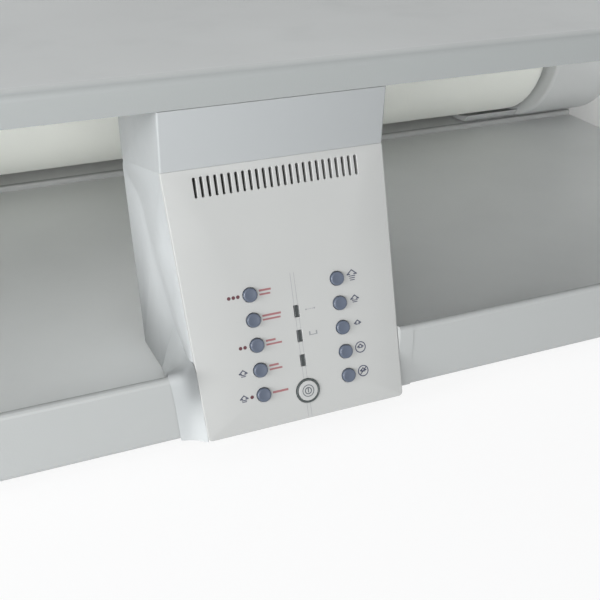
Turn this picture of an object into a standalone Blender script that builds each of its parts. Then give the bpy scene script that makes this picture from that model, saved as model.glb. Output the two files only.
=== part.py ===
"""Rotary ironer: padded roller, swinging heated shoe, feed table, delivery tray and control column.

Metres, +Z up, +X to the operator's right, the operator stands at -Y.
The origin is the middle of the footprint, on the surface the ironer stands on.
"""
import math

import bmesh
import bpy
from mathutils import Matrix, Vector

for old in list(bpy.data.objects):
    bpy.data.objects.remove(old, do_unlink=True)

# Driving dimensions
roller_length = 0.850
roller_radius = 0.080
end_bay = 0.0797
fascia_length = 0.1535
fascia_tilt = math.radians(19.7)
hood_height = 0.0342
roller_setback = 0.400
roller_axis_height = 0.095
table_thickness = 0.0185

# Clearances and cuts
gap = 0.0003
running_gap = 0.0003
overrun = 0.010
merge_distance = 1e-7

# Sheets and walls
tray_sheet = 0.0015
table_sheet = 0.0025
end_sheet = 0.003
moulding_wall = 0.0025
fascia_thickness = 0.003

# Feet
foot_height = 0.012
foot_radius = 0.014
foot_inset = 0.050

# Delivery tray
tray_front_reach = 0.0418
lip_height = 0.041
lip_bead_radius = 0.0028
lip_return = 0.005
lip_corner_radius = 0.003
lip_end_clearance = 0.0008
tray_depth_behind_crease = 0.381

# Rear chassis
chassis_height = 0.005
chassis_corner_radius = 0.002

# Column
column_foot_half_width = 0.062
column_corner_half_width = 0.069
column_corner_setback = 0.010
column_rear_half_width = 0.070
column_head_half_width = 0.067
column_hood_half_width = 0.0666
column_head_depth = 0.103
column_foot_depth = 0.0693
column_shoulder_height = 0.1175
hood_lean = 0.0026

# Fascia openings, down the panel from the crease
vent_count = 25
vent_half_span = 0.0484
vent_top = 0.0045
vent_length = 0.0115
vent_width = 0.0016
button_rows = 5
button_last_rise = 0.02032
button_row_pitch = 0.01477
fabric_button_x = -0.0260
mode_button_x = 0.0279
button_radius = 0.0041
button_proud = 0.0020
button_flange_radius = 0.0054
button_flange_thickness = 0.0010
button_stem_radius = 0.0022
button_travel = 0.0012
button_crown_share = 0.12
dome_mid_share = 0.55
dome_mid_fall_share = 0.3
dome_shoulder_share = 0.86
dome_shoulder_height_share = 0.72
dome_edge_height_share = 0.2
power_button_x = 0.0012
power_button_rise = 0.0167
power_button_radius = 0.0063
power_ring_radius = 0.0072
power_ring_proud = 0.0006
window_x = 0.0006
window_width = 0.0032
window_height = 0.0070
window_row_drop = 0.0146
window_recess = 0.0002
lens_strip = 0.0020

# Control board behind the fascia
board_depth = 0.0120
board_thickness = 0.0016
board_half_width = 0.0480
board_above_rows = 0.0181
board_below_power = 0.0092
standoff_radius = 0.0030
standoff_inset = 0.0050
switch_size = 0.0060

# Relay board on the tray floor inside the column
relay_board_half_width = 0.045
relay_board_depth = 0.060
relay_board_lift = 0.008
relay_post_radius = 0.0035
relay_height = 0.014
relay_length = 0.024
relay_width = 0.012

# Service cover on the column's back
service_half_width = 0.045
service_height = 0.080
service_overlap = 0.006
service_thickness = 0.0015

# Feed table
table_depth = 0.326
table_front_radius = 0.006
table_rear_radius = 0.008
table_front_return = 0.010
table_rear_drop = 0.0145
bracket_length = 0.030
bracket_reach = 0.015
bracket_height = 0.014
bracket_inset = 0.030

# Roller
roller_end_radius = 0.0095
cover_cloth = 0.002
padding_thickness = 0.010
tube_wall = 0.002
end_disc_thickness = 0.004
journal_radius = 0.009
journal_flange_radius = 0.022
journal_flange_thickness = 0.004

# End housings and their guards under the roller's ends
housing_end_gap = 0.0053
guard_clearance = 0.0025
guard_wall = 0.006
window_reach_share = 0.66
guard_reach = 0.064
guard_front_angle = math.radians(20)
guard_rear_angle = math.radians(24)
journal_hole_radius = 0.012

# Shoe
press_gap = 0.001
shoe_plate = 0.004
shoe_wrap_low = math.radians(-50)
shoe_wrap_high = math.radians(75)
casing_wrap_low = math.radians(-36)
casing_space = 0.026
casing_wall = 0.002
shoe_open_angle = math.radians(12)
pivot_setback = 0.040
pivot_drop = 0.075
shoe_end_plate = 0.003
element_radius = 0.004
element_low = math.radians(-15)
element_high = math.radians(38)
element_end_inset = 0.030
thermostat_radius = 0.009
thermostat_height = 0.010
thermostat_angle = math.radians(12)
thermostat_x = 0.060
fuse_length = 0.022
fuse_width = 0.008

# Frame plates, arms and drives in the end housings
arm_inset = 0.011
arm_thickness = 0.006
arm_boss_radius = 0.011
arm_lug_radius = 0.009
lug_boss_share = 0.7
arm_window_height = 0.045
arm_lug_angle = math.radians(12)
arm_lug_depth = 0.012
frame_plate_inset = 0.024
frame_plate_thickness = 0.003
frame_plate_height = 0.155
pin_radius = 0.005
pin_head_radius = 0.0085
pin_head_thickness = 0.002
bearing_radius = 0.014
bearing_width = 0.010
gear_module = 0.00175
gear_teeth = 40
pinion_teeth = 12
gear_width = 0.008
gear_inset = 0.038
pinion_angle = math.radians(35)
tooth_depth_share = 0.86
tooth_root_share = 1.05
tooth_tip_width_share = 0.26
tooth_root_width_share = 0.56
motor_radius = 0.023
motor_length = 0.026
motor_flange = 0.052
motor_flange_thickness = 0.003
motor_post_radius = 0.004
pinion_shaft_radius = 0.003
follower_reach = 0.050
follower_drop = 0.002
follower_radius = 0.005
follower_width = 0.0055
cam_radius = 0.012
cam_throw = 0.005
cam_width = 0.0045
cam_shaft_radius = 0.004
cam_rest_gap = 0.0008
press_motor_radius = 0.019
press_motor_length = 0.040

# Rear cover, rail and inlet
swing_clearance = 0.004
rear_sheet = 0.003
rear_cover_height = 0.162
rear_cover_radius = 0.008
rear_cover_return = 0.006
rail_size = 0.014
rail_clearance = 0.004
rail_wall = 0.002
inlet_x = 0.300
inlet_width = 0.028
inlet_height = 0.020
inlet_depth = 0.012
inlet_base = 0.026
inlet_flange = 0.004
inlet_flange_thickness = 0.002
inlet_socket_depth = 0.009
inlet_pin_width = 0.002
inlet_pin_pitch = 0.007

# End caps
cap_depth = 0.012
cap_edge_radius = 0.005
end_top_radius = 0.030
end_skirt = 0.004

# Where the pieces stand
floor_z = foot_height + tray_sheet
fascia_reach = fascia_length * math.sin(fascia_tilt)
fascia_rise = fascia_length * math.cos(fascia_tilt)
casing_radius = roller_radius + press_gap + shoe_plate + casing_space + casing_wall
open_turn = -shoe_open_angle
swing_back = pivot_setback - (pivot_setback * math.cos(open_turn) + pivot_drop * math.sin(open_turn))
rear_inner_reach = casing_radius + swing_back + swing_clearance
rear_reach = rear_inner_reach + rear_sheet
front_y = -(fascia_reach + roller_setback + rear_reach) / 2
crease_y = front_y + fascia_reach
crease_z = floor_z + fascia_rise
table_base_z = crease_z + hood_height + gap
table_top_z = table_base_z + table_thickness
roller_y = crease_y + roller_setback
roller_z = floor_z + roller_axis_height
rear_inner_y = roller_y + rear_inner_reach
rear_outer_y = rear_inner_y + rear_sheet
pivot_y = roller_y + pivot_setback
pivot_z = roller_z - pivot_drop
half_roller = roller_length / 2
housing_x = half_roller + housing_end_gap
half_inner = housing_x + end_bay
half_fit = half_inner - gap
chassis_front_y = crease_y + tray_depth_behind_crease + gap
chassis_top_z = floor_z + chassis_height
housing_radius = roller_radius + guard_clearance + guard_wall
housing_bottom_z = chassis_top_z + gap
end_outer_x = half_inner + end_sheet
button_first_row = fascia_length - button_last_rise - (button_rows - 1) * button_row_pitch
power_button_drop = fascia_length - power_button_rise
window_first_drop = button_first_row + window_row_drop
board_top_drop = button_first_row - board_above_rows
board_bottom_drop = power_button_drop + board_below_power

model = bpy.data.collections.new("rotary_ironer")
bpy.context.scene.collection.children.link(model)
cutters = bpy.data.collections.new("cutters")
bpy.context.scene.collection.children.link(cutters)


def finish(name, colour, roughness, metallic=0.0):
    """A painted, moulded or metal finish for one kind of piece."""
    material = bpy.data.materials.new(name)
    material.use_nodes = True
    shader = material.node_tree.nodes["Principled BSDF"]
    shader.inputs["Base Color"].default_value = (*colour, 1.0)
    shader.inputs["Roughness"].default_value = roughness
    shader.inputs["Metallic"].default_value = metallic
    material.diffuse_color = (*colour, 1.0)
    return material


def place(name, mesh, material, parent=None, at=(0, 0, 0), turn=(0, 0, 0)):
    """Put a finished mesh in the ironer's collection as one named piece."""
    piece = bpy.data.objects.new(name, mesh)
    mesh.materials.clear()
    if material is not None:
        own = material.copy()
        own.name = name
        mesh.materials.append(own)
    piece.location = at
    piece.rotation_euler = turn
    piece.parent = parent
    (cutters if material is None else model).objects.link(piece)
    if material is None:
        piece.hide_render = True
        piece.display_type = "WIRE"
    return piece


def guide(name, at, turn=(0, 0, 0), parent=None):
    """An empty on a joint axis or on the panel, which carries pieces."""
    empty = bpy.data.objects.new(name, None)
    empty.location = at
    empty.rotation_euler = turn
    empty.parent = parent
    model.objects.link(empty)
    return empty


def mesh_from(bm, name):
    """Close off a bmesh as a mesh with its faces pointing out."""
    bmesh.ops.remove_doubles(bm, verts=bm.verts, dist=merge_distance)
    bmesh.ops.recalc_face_normals(bm, faces=bm.faces)
    if bm.calc_volume(signed=True) < 0:
        bmesh.ops.reverse_faces(bm, faces=bm.faces)
    mesh = bpy.data.meshes.new(name)
    bm.to_mesh(mesh)
    bm.free()
    return mesh


def smooth(piece, angle=math.radians(35)):
    """Shade a round piece smooth between its sharp edges."""
    piece.data.shade_smooth()
    piece.data.set_sharp_from_angle(angle=angle)
    return piece


def arc(centre, radius, start, end, steps):
    """Points on an arc, from one angle to the other."""
    points = []
    for step in range(steps + 1):
        angle = start + (end - start) * step / steps
        points.append((centre[0] + radius * math.cos(angle), centre[1] + radius * math.sin(angle)))
    return points


def box_mesh(name, low, high):
    """A block between two corners."""
    bm = bmesh.new()
    bmesh.ops.create_cube(bm, size=1.0)
    size = [b - a for a, b in zip(low, high)]
    middle = [(a + b) / 2 for a, b in zip(low, high)]
    bmesh.ops.scale(bm, vec=size, verts=bm.verts)
    bmesh.ops.translate(bm, vec=middle, verts=bm.verts)
    return mesh_from(bm, name)


def drum_mesh(name, radius, low, high, sides, axis="X", centre=(0, 0), end_radius=None):
    """A cylinder or cone along X, Y or Z, between two places on that axis."""
    bm = bmesh.new()
    tip = radius if end_radius is None else end_radius
    bmesh.ops.create_cone(bm, cap_ends=True, segments=sides, radius1=radius, radius2=tip,
                          depth=high - low)
    bmesh.ops.translate(bm, vec=(0, 0, (low + high) / 2), verts=bm.verts)
    if axis == "X":
        turn = Matrix.Rotation(math.pi / 2, 3, "Z") @ Matrix.Rotation(math.pi / 2, 3, "X")
        offset = (0, centre[0], centre[1])
    elif axis == "Y":
        turn = Matrix.Rotation(-math.pi / 2, 3, "X")
        offset = (centre[0], 0, centre[1])
    else:
        turn = Matrix.Identity(3)
        offset = (centre[0], centre[1], 0)
    bmesh.ops.rotate(bm, cent=(0, 0, 0), matrix=turn, verts=bm.verts)
    bmesh.ops.translate(bm, vec=offset, verts=bm.verts)
    return mesh_from(bm, name)


def outline_mesh(name, outlines, thickness):
    """A flat plate from closed outlines, the first outside and the others holes."""
    curve = bpy.data.curves.new(name, "CURVE")
    curve.dimensions = "2D"
    curve.fill_mode = "BOTH"
    curve.extrude = thickness / 2
    for outline in outlines:
        spline = curve.splines.new("POLY")
        spline.points.add(len(outline) - 1)
        for point, (u, v) in zip(spline.points, outline):
            point.co = (u, v, 0, 1)
        spline.use_cyclic_u = True
    holder = bpy.data.objects.new(name, curve)
    bpy.context.scene.collection.objects.link(holder)
    bpy.context.view_layer.update()
    evaluated = holder.evaluated_get(bpy.context.evaluated_depsgraph_get())
    mesh = bpy.data.meshes.new_from_object(evaluated)
    bpy.data.objects.remove(holder)
    bm = bmesh.new()
    bm.from_mesh(mesh)
    bpy.data.meshes.remove(mesh)
    return mesh_from(bm, name)


def section_mesh(name, outlines, low_x, high_x):
    """A solid of one section in the side view, (y, z), run along X."""
    mesh = outline_mesh(name, outlines, high_x - low_x)
    turn = Matrix.Rotation(math.pi / 2, 4, "Z") @ Matrix.Rotation(math.pi / 2, 4, "X")
    mesh.transform(Matrix.Translation(((low_x + high_x) / 2, 0, 0)) @ turn)
    return mesh


def bent_sheet(name, path, low_x, high_x, thickness, material):
    """A folded sheet: its outer face follows the path, and the sheet lies to its right."""
    bm = bmesh.new()
    verts = [bm.verts.new((low_x, y, z)) for y, z in path]
    edges = [bm.edges.new(pair) for pair in zip(verts, verts[1:])]
    swept = bmesh.ops.extrude_edge_only(bm, edges=edges)["geom"]
    moved = [item for item in swept if isinstance(item, bmesh.types.BMVert)]
    bmesh.ops.translate(bm, vec=(high_x - low_x, 0, 0), verts=moved)
    bm.normal_update()
    along = Vector((0, path[1][0] - path[0][0], path[1][1] - path[0][1]))
    outward = Vector((1, 0, 0)).cross(along)
    if edges[0].link_faces[0].normal.dot(outward) < 0:
        bmesh.ops.reverse_faces(bm, faces=bm.faces)
    mesh = bpy.data.meshes.new(name)
    bm.to_mesh(mesh)
    bm.free()
    piece = place(name, mesh, material)
    wall = piece.modifiers.new("sheet", "SOLIDIFY")
    wall.thickness = thickness
    wall.offset = -1
    wall.use_even_offset = True
    return piece


def turned_mesh(name, profile, steps):
    """A turned solid about Z from a profile of (radius, height) points on +X, top to bottom."""
    bm = bmesh.new()
    verts = [bm.verts.new((radius, 0, height)) for radius, height in profile]
    edges = [bm.edges.new(pair) for pair in zip(verts, verts[1:])]
    bmesh.ops.spin(bm, geom=verts + edges, axis=(0, 0, 1), cent=(0, 0, 0), angle=math.tau,
                   steps=steps, use_merge=True)
    return mesh_from(bm, name)


def ring_mesh(name, inner, outer, low, high, steps):
    """A plain ring about Z."""
    profile = [(outer, high), (outer, low), (inner, low), (inner, high), (outer, high)]
    return turned_mesh(name, profile, steps)


def along_x(mesh, centre=(0, 0)):
    """Lay a piece turned about Z along X, at a place (y, z)."""
    turn = Matrix.Rotation(math.pi / 2, 4, "Z") @ Matrix.Rotation(math.pi / 2, 4, "X")
    mesh.transform(Matrix.Translation((0, centre[0], centre[1])) @ turn)
    return mesh


def change(piece, cutter, operation):
    """Cut, join or keep a piece by another with an exact Boolean."""
    step = piece.modifiers.new(operation.lower(), "BOOLEAN")
    step.operation = operation
    step.solver = "EXACT"
    step.object = cutter
    return piece


def cut(piece, mesh, parent=None, at=(0, 0, 0), turn=(0, 0, 0)):
    """Take a shape out of a piece."""
    return change(piece, place(piece.name + "_cut", mesh, None, parent, at, turn), "DIFFERENCE")


def join(piece, mesh, parent=None, at=(0, 0, 0), turn=(0, 0, 0)):
    """Add a shape to a piece as one body."""
    return change(piece, place(piece.name + "_add", mesh, None, parent, at, turn), "UNION")


def round_edges(piece, width, segments=2, limit=math.radians(50)):
    """Round a piece's sharp edges."""
    edge = piece.modifiers.new("edges", "BEVEL")
    edge.width = width
    edge.segments = segments
    edge.limit_method = "ANGLE"
    edge.angle_limit = limit
    return piece


painted_white = finish("painted_white", (0.66, 0.69, 0.69), 0.45)
moulded_white = finish("moulded_white", (0.64, 0.67, 0.67), 0.40)
moulded_grey = finish("moulded_grey", (0.42, 0.46, 0.50), 0.45)
steel = finish("steel", (0.56, 0.57, 0.58), 0.35, 1.0)
aluminium = finish("aluminium", (0.70, 0.71, 0.72), 0.30, 1.0)
cloth = finish("cloth", (0.66, 0.68, 0.60), 0.9)
felt = finish("felt", (0.70, 0.68, 0.62), 0.95)
rubber = finish("rubber", (0.04, 0.04, 0.045), 0.8)
button_plastic = finish("button_plastic", (0.15, 0.19, 0.27), 0.35)
dark_plastic = finish("dark_plastic", (0.04, 0.045, 0.05), 0.3)
circuit = finish("circuit", (0.05, 0.22, 0.12), 0.5)
brass = finish("brass", (0.65, 0.50, 0.25), 0.35, 1.0)


def lower_tray():
    """Delivery tray: one folded sheet, its lip left out where the column stands."""
    front = crease_y - tray_front_reach
    top = floor_z + lip_height
    bead = lip_bead_radius
    corner = lip_corner_radius
    path = [(front + 2 * bead, top - bead - lip_return)]
    path += arc((front + bead, top - bead), bead, 0, math.pi, 6)
    path += arc((front + corner, floor_z - tray_sheet + corner), corner, math.pi, 1.5 * math.pi, 3)
    path += [(crease_y + tray_depth_behind_crease, floor_z - tray_sheet)]
    tray = bent_sheet("lower_tray", path[::-1], -half_fit, half_fit, tray_sheet, painted_white)
    lip_end = column_corner_half_width + lip_end_clearance
    low = (-lip_end, front - overrun, floor_z)
    high = (lip_end, front + 2 * bead + overrun, top + overrun)
    return cut(tray, box_mesh("lip_gap", low, high))


def rear_chassis():
    """Low steel pan behind the tray, under the roller and the shoe."""
    base = floor_z - tray_sheet
    corner = chassis_corner_radius
    back = rear_inner_y - gap
    path = [(chassis_front_y, base)]
    path += arc((chassis_front_y + corner, chassis_top_z - corner), corner, math.pi, math.pi / 2, 3)
    path += arc((back - corner, chassis_top_z - corner), corner, math.pi / 2, 0, 3)
    path += [(back, base)]
    bent_sheet("rear_chassis", path, -half_fit, half_fit, tray_sheet, painted_white)


def rubber_feet():
    """Four feet: short ones under the tray, taller ones under the chassis."""
    front_top = floor_z - tray_sheet - gap
    rear_top = chassis_top_z - tray_sheet - gap
    places = (("front", crease_y, front_top), ("rear", rear_inner_y - foot_inset, rear_top))
    for side, word in ((-1, "left"), (1, "right")):
        for end, y, top in places:
            centre = (side * (half_inner - foot_inset), y)
            mesh = drum_mesh("foot", foot_radius, 0, top, 20, "Z", centre)
            smooth(place(f"{end}_{word}_foot", mesh, rubber))


def end_outline(inset=0.0):
    """Side view of the ironer's end, (y, z): lip, sloping front, level top, upright back."""
    front = crease_y - tray_front_reach + inset
    base = floor_z - tray_sheet - end_skirt + inset
    lip_top = floor_z + lip_height
    top = table_top_z - inset
    back = rear_outer_y - inset
    corner = end_top_radius - inset
    brow = table_front_radius
    brow_y = crease_y - hood_lean + inset
    points = [(front, base), (back, base)]
    points += arc((back - corner, top - corner), corner, 0, math.pi / 2, 6)
    points += arc((brow_y + brow, top - brow), brow, math.pi / 2, math.pi, 3)
    points += [(front, lip_top)]
    return points


def end_panels_and_caps():
    """Steel end panels with brackets under the table, and a moulded cap outside each."""
    top = table_top_z - table_sheet - gap
    for side, word in ((-1, "left"), (1, "right")):
        inner, outer = sorted((side * half_inner, side * end_outer_x))
        panel = place(word + "_end_panel", section_mesh("end_panel", [end_outline()], inner, outer),
                      painted_white)
        low_x, high_x = sorted((side * (half_inner + end_sheet / 2), side * (half_fit - bracket_reach)))
        for y in (crease_y + bracket_inset, crease_y + table_depth - bracket_inset - bracket_length):
            low = (low_x, y, top - bracket_height)
            join(panel, box_mesh("bracket", low, (high_x, y + bracket_length, top)))
        near = side * (end_outer_x + gap)
        far = side * (end_outer_x + gap + cap_depth)
        low, high = sorted((near, far))
        cap = place(word + "_end_cap", section_mesh("end_cap", [end_outline()], low, high),
                    moulded_white)
        round_edges(cap, cap_edge_radius)
        hollow_low, hollow_high = sorted((near - side * overrun, far - side * moulding_wall))
        inner_outline = end_outline(cap_edge_radius + moulding_wall)
        cut(cap, section_mesh("cap_hollow", [inner_outline], hollow_low, hollow_high))


def feed_table():
    """Feed table: folded sheet with a rounded front edge, rolled down before the roller."""
    front = crease_y - hood_lean
    back = crease_y + table_depth
    radius = table_front_radius
    path = [(front + table_front_return, table_base_z), (front, table_base_z)]
    path += arc((front + radius, table_top_z - radius), radius, math.pi, math.pi / 2, 5)
    rear = table_rear_radius
    path += arc((back - rear, table_top_z - rear), rear, math.pi / 2, 0, 5)
    path += [(back, table_top_z - table_rear_drop)]
    table = bent_sheet("feed_table", path, -half_fit, half_fit, table_sheet, painted_white)
    clear = bracket_reach + gap
    for side in (-1, 1):
        low_x, high_x = sorted((side * (half_inner - clear), side * (half_inner + overrun)))
        low = (low_x, crease_y + table_sheet, table_base_z - overrun)
        cut(table, box_mesh("flange_notch", low, (high_x, crease_y + bracket_inset + bracket_length,
                                                  table_base_z + table_sheet + gap)))
    smooth(table)


def column_hull(name, inset=0.0, drop=0.0, top=0.0):
    """The column's outer form between its corner points, drawn in by a wall for the hollow."""
    foot_front = (column_foot_half_width - inset, -fascia_reach, -drop)
    corner_front = (column_corner_half_width - inset, -fascia_reach + column_corner_setback, -drop)
    foot_rear = (column_rear_half_width - inset, column_foot_depth - inset, -drop)
    shoulder = (column_head_half_width - inset, column_head_depth - inset, column_shoulder_height)
    head_rear = (column_head_half_width - inset, column_head_depth - inset, top)
    head_front = (column_hood_half_width - inset, -hood_lean, top)
    bm = bmesh.new()
    for x, y, z in (foot_front, corner_front, foot_rear, shoulder, head_rear, head_front):
        for side in (-1, 1):
            bm.verts.new((side * x, crease_y + y, floor_z + z))
    bmesh.ops.convex_hull(bm, input=bm.verts)
    return mesh_from(bm, name)


def column_shell():
    """Flared column sides and hood in one moulding, open in front for the fascia."""
    hood_top = fascia_rise + hood_height
    mesh = column_hull("column_shell", 0, -gap, hood_top)
    shell = place("column_shell", mesh, moulded_white)
    seat = fascia_thickness + gap
    rebate_y = crease_y + seat * math.cos(fascia_tilt)
    rebate_z = crease_z - seat * math.sin(fascia_tilt)
    below = overrun + fascia_thickness
    run = (rebate_z - floor_z + below) * math.tan(fascia_tilt)
    far = crease_y - fascia_reach - overrun
    lean = hood_lean * (hood_height + overrun) / hood_height
    front = [(crease_y - lean, crease_z + hood_height + overrun), (crease_y, crease_z),
             (rebate_y, rebate_z), (rebate_y - run, floor_z - below), (far - below, floor_z - below),
             (far - below, crease_z + hood_height + overrun)]
    half = column_rear_half_width + overrun
    cut(shell, section_mesh("front_space", [front], -half, half))
    ceiling = fascia_rise - moulding_wall
    cut(shell, column_hull("column_hollow", moulding_wall, overrun, ceiling))
    low = (-column_hood_half_width + moulding_wall, crease_y + moulding_wall,
           floor_z + ceiling - overrun)
    high = (column_hood_half_width - moulding_wall, crease_y + column_head_depth - 2 * moulding_wall,
            floor_z + hood_top - moulding_wall)
    cut(shell, box_mesh("hood_hollow", low, high))
    slope = math.atan2(column_head_depth - column_foot_depth, column_shoulder_height)
    back = guide("column_back", (0, crease_y + column_foot_depth, floor_z), (-slope, 0, 0))
    opening = service_height - service_overlap
    low = (-service_half_width + service_overlap, -overrun, 3 * service_overlap)
    cut(shell, box_mesh("service_opening", low, (service_half_width - service_overlap, overrun,
                                                 2 * service_overlap + opening)), back)
    low = (-service_half_width, gap, 2 * service_overlap)
    high = (service_half_width, gap + service_thickness, 3 * service_overlap + service_height)
    mesh = box_mesh("column_service_cover", low, high)
    place("column_service_cover", mesh, moulded_white, back)


def fascia_half_width(drop):
    """Half the fascia's width at a distance down from the crease."""
    share = drop / fascia_length
    return column_hood_half_width + (column_foot_half_width - column_hood_half_width) * share


def button_places():
    """Names and places (x, drop) of the ten round buttons."""
    places = []
    for word, x in (("fabric", fabric_button_x), ("mode", mode_button_x)):
        for row in range(button_rows):
            places.append((f"{word}_button_{row + 1}", x, button_first_row + row * button_row_pitch))
    return places


def window_drops():
    """Places of the three indicator windows down the panel, between the button rows."""
    return [window_first_drop + row * button_row_pitch for row in range(3)]


def column_fascia(panel):
    """Sloping control panel with vent slots, button holes and indicator windows."""
    low_drop = fascia_length
    foot = fascia_half_width(low_drop)
    top = fascia_half_width(gap)
    corner = vent_width
    outer = [(-top, -gap), (-foot, -low_drop + corner), (-foot + corner, -low_drop),
             (foot - corner, -low_drop), (foot, -low_drop + corner), (top, -gap)]
    holes = [outer]
    half = vent_width / 2
    for index in range(vent_count):
        x = -vent_half_span + 2 * vent_half_span * index / (vent_count - 1)
        slot = arc((x, -vent_top - half), half, 0, math.pi, 3)
        slot += arc((x, -vent_top - vent_length + half), half, math.pi, math.tau, 3)
        holes.append(slot)
    for name, x, drop in button_places():
        holes.append(arc((x, -drop), button_radius + running_gap, 0, math.tau, 16)[:-1])
    hole = power_ring_radius + gap
    holes.append(arc((power_button_x, -power_button_drop), hole, 0, math.tau, 24)[:-1])
    for drop in window_drops():
        x = window_width / 2
        y = window_height / 2
        holes.append([(window_x - x, -drop - y), (window_x + x, -drop - y),
                      (window_x + x, -drop + y), (window_x - x, -drop + y)])
    mesh = outline_mesh("column_fascia", holes, fascia_thickness)
    place("column_fascia", mesh, painted_white, panel, (0, 0, -fascia_thickness / 2))
    drops = window_drops()
    back = -fascia_thickness - gap
    strip_low = (window_x - window_width, -drops[-1] - window_height, back - lens_strip)
    strip_high = (window_x + window_width, -drops[0] + window_height, back)
    mesh = box_mesh("indicator_lens", strip_low, strip_high)
    lens = place("indicator_lens", mesh, dark_plastic, panel)
    for drop in drops:
        x = window_width / 2 - gap
        y = window_height / 2 - gap
        low = (window_x - x, -drop - y, back - lens_strip / 2)
        join(lens, box_mesh("window", low, (window_x + x, -drop + y, -window_recess)), panel)


def button_mesh(name, radius, proud, dish, steps):
    """A push button: domed or flat head, guide barrel, retaining flange and stem."""
    back = -fascia_thickness - gap
    stem_end = -board_depth + switch_size / 2 + button_travel + gap
    flange = radius + button_flange_radius - button_radius
    profile = [(0, proud - dish)]
    profile += [(radius * dome_mid_share, proud - dish * dome_mid_fall_share)]
    profile += [(radius * dome_shoulder_share, proud * dome_shoulder_height_share)]
    profile += [(radius, proud * dome_edge_height_share), (radius, back), (flange, back)]
    profile += [(flange, back - button_flange_thickness)]
    profile += [(button_stem_radius, back - button_flange_thickness)]
    profile += [(button_stem_radius, stem_end), (0, stem_end)]
    return turned_mesh(name, profile, steps)


def buttons(panel):
    """Ten round buttons and the power button, each on its own guide square to the panel."""
    meshes = []
    for name, x, drop in button_places():
        holder = guide(name + "_axis", (x, -drop, 0), (0, 0, 0), panel)
        crown = button_proud * button_crown_share
        smooth(place(name, button_mesh(name, button_radius, button_proud - crown, -crown, 16),
                     button_plastic, holder))
        meshes.append((x, drop))
    holder = guide("power_button_axis", (power_button_x, -power_button_drop, 0), (0, 0, 0), panel)
    ring_inner = power_button_radius + running_gap
    smooth(place("power_button", button_mesh("power_button", power_button_radius, power_ring_proud,
                                             0, 24), moulded_white, holder))
    ring = ring_mesh("power_ring", ring_inner, power_ring_radius, -fascia_thickness,
                     power_ring_proud, 24)
    smooth(place("power_ring", ring, dark_plastic, panel, (power_button_x, -power_button_drop, 0)))
    return meshes + [(power_button_x, power_button_drop)]


def control_board(panel, switch_places):
    """Circuit board on four stand-offs, with a tactile switch behind each button."""
    top = -board_depth
    low = (-board_half_width, -board_bottom_drop, top - board_thickness)
    mesh = box_mesh("control_board", low, (board_half_width, -board_top_drop, top))
    board = place("control_board", mesh, circuit, panel)
    middle = top - board_thickness / 2
    for x in (-board_half_width + standoff_inset, board_half_width - standoff_inset):
        for drop in (board_top_drop + standoff_inset, board_bottom_drop - standoff_inset):
            join(board, drum_mesh("post", standoff_radius, middle, -fascia_thickness - gap, 12, "Z",
                                  (x, -drop)), panel)
    half = switch_size / 2
    for x, drop in switch_places:
        low = (x - half, -drop - half, middle)
        join(board, box_mesh("switch", low, (x + half, -drop + half, top + half)), panel)


def relay_board():
    """Power board with two relays, on four posts that stand on the tray inside the column."""
    base = floor_z + gap
    level = base + relay_board_lift
    back = crease_y + column_foot_depth - 3 * moulding_wall
    front = back - relay_board_depth
    low = (-relay_board_half_width, front, level)
    high = (relay_board_half_width, back, level + board_thickness)
    board = place("relay_board", box_mesh("relay_board", low, high), circuit)
    radius = relay_post_radius
    for x in (-relay_board_half_width + 2 * radius, relay_board_half_width - 2 * radius):
        for y in (front + 2 * radius, back - 2 * radius):
            join(board, drum_mesh("post", radius, base, level + board_thickness / 2, 10, "Z", (x, y)))
    for x in (-relay_length, relay_length):
        low = (x - relay_length / 2, front + 2 * radius, level + board_thickness / 2)
        high = (x + relay_length / 2, front + 2 * radius + relay_width, level + relay_height)
        join(board, box_mesh("relay", low, high))


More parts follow.
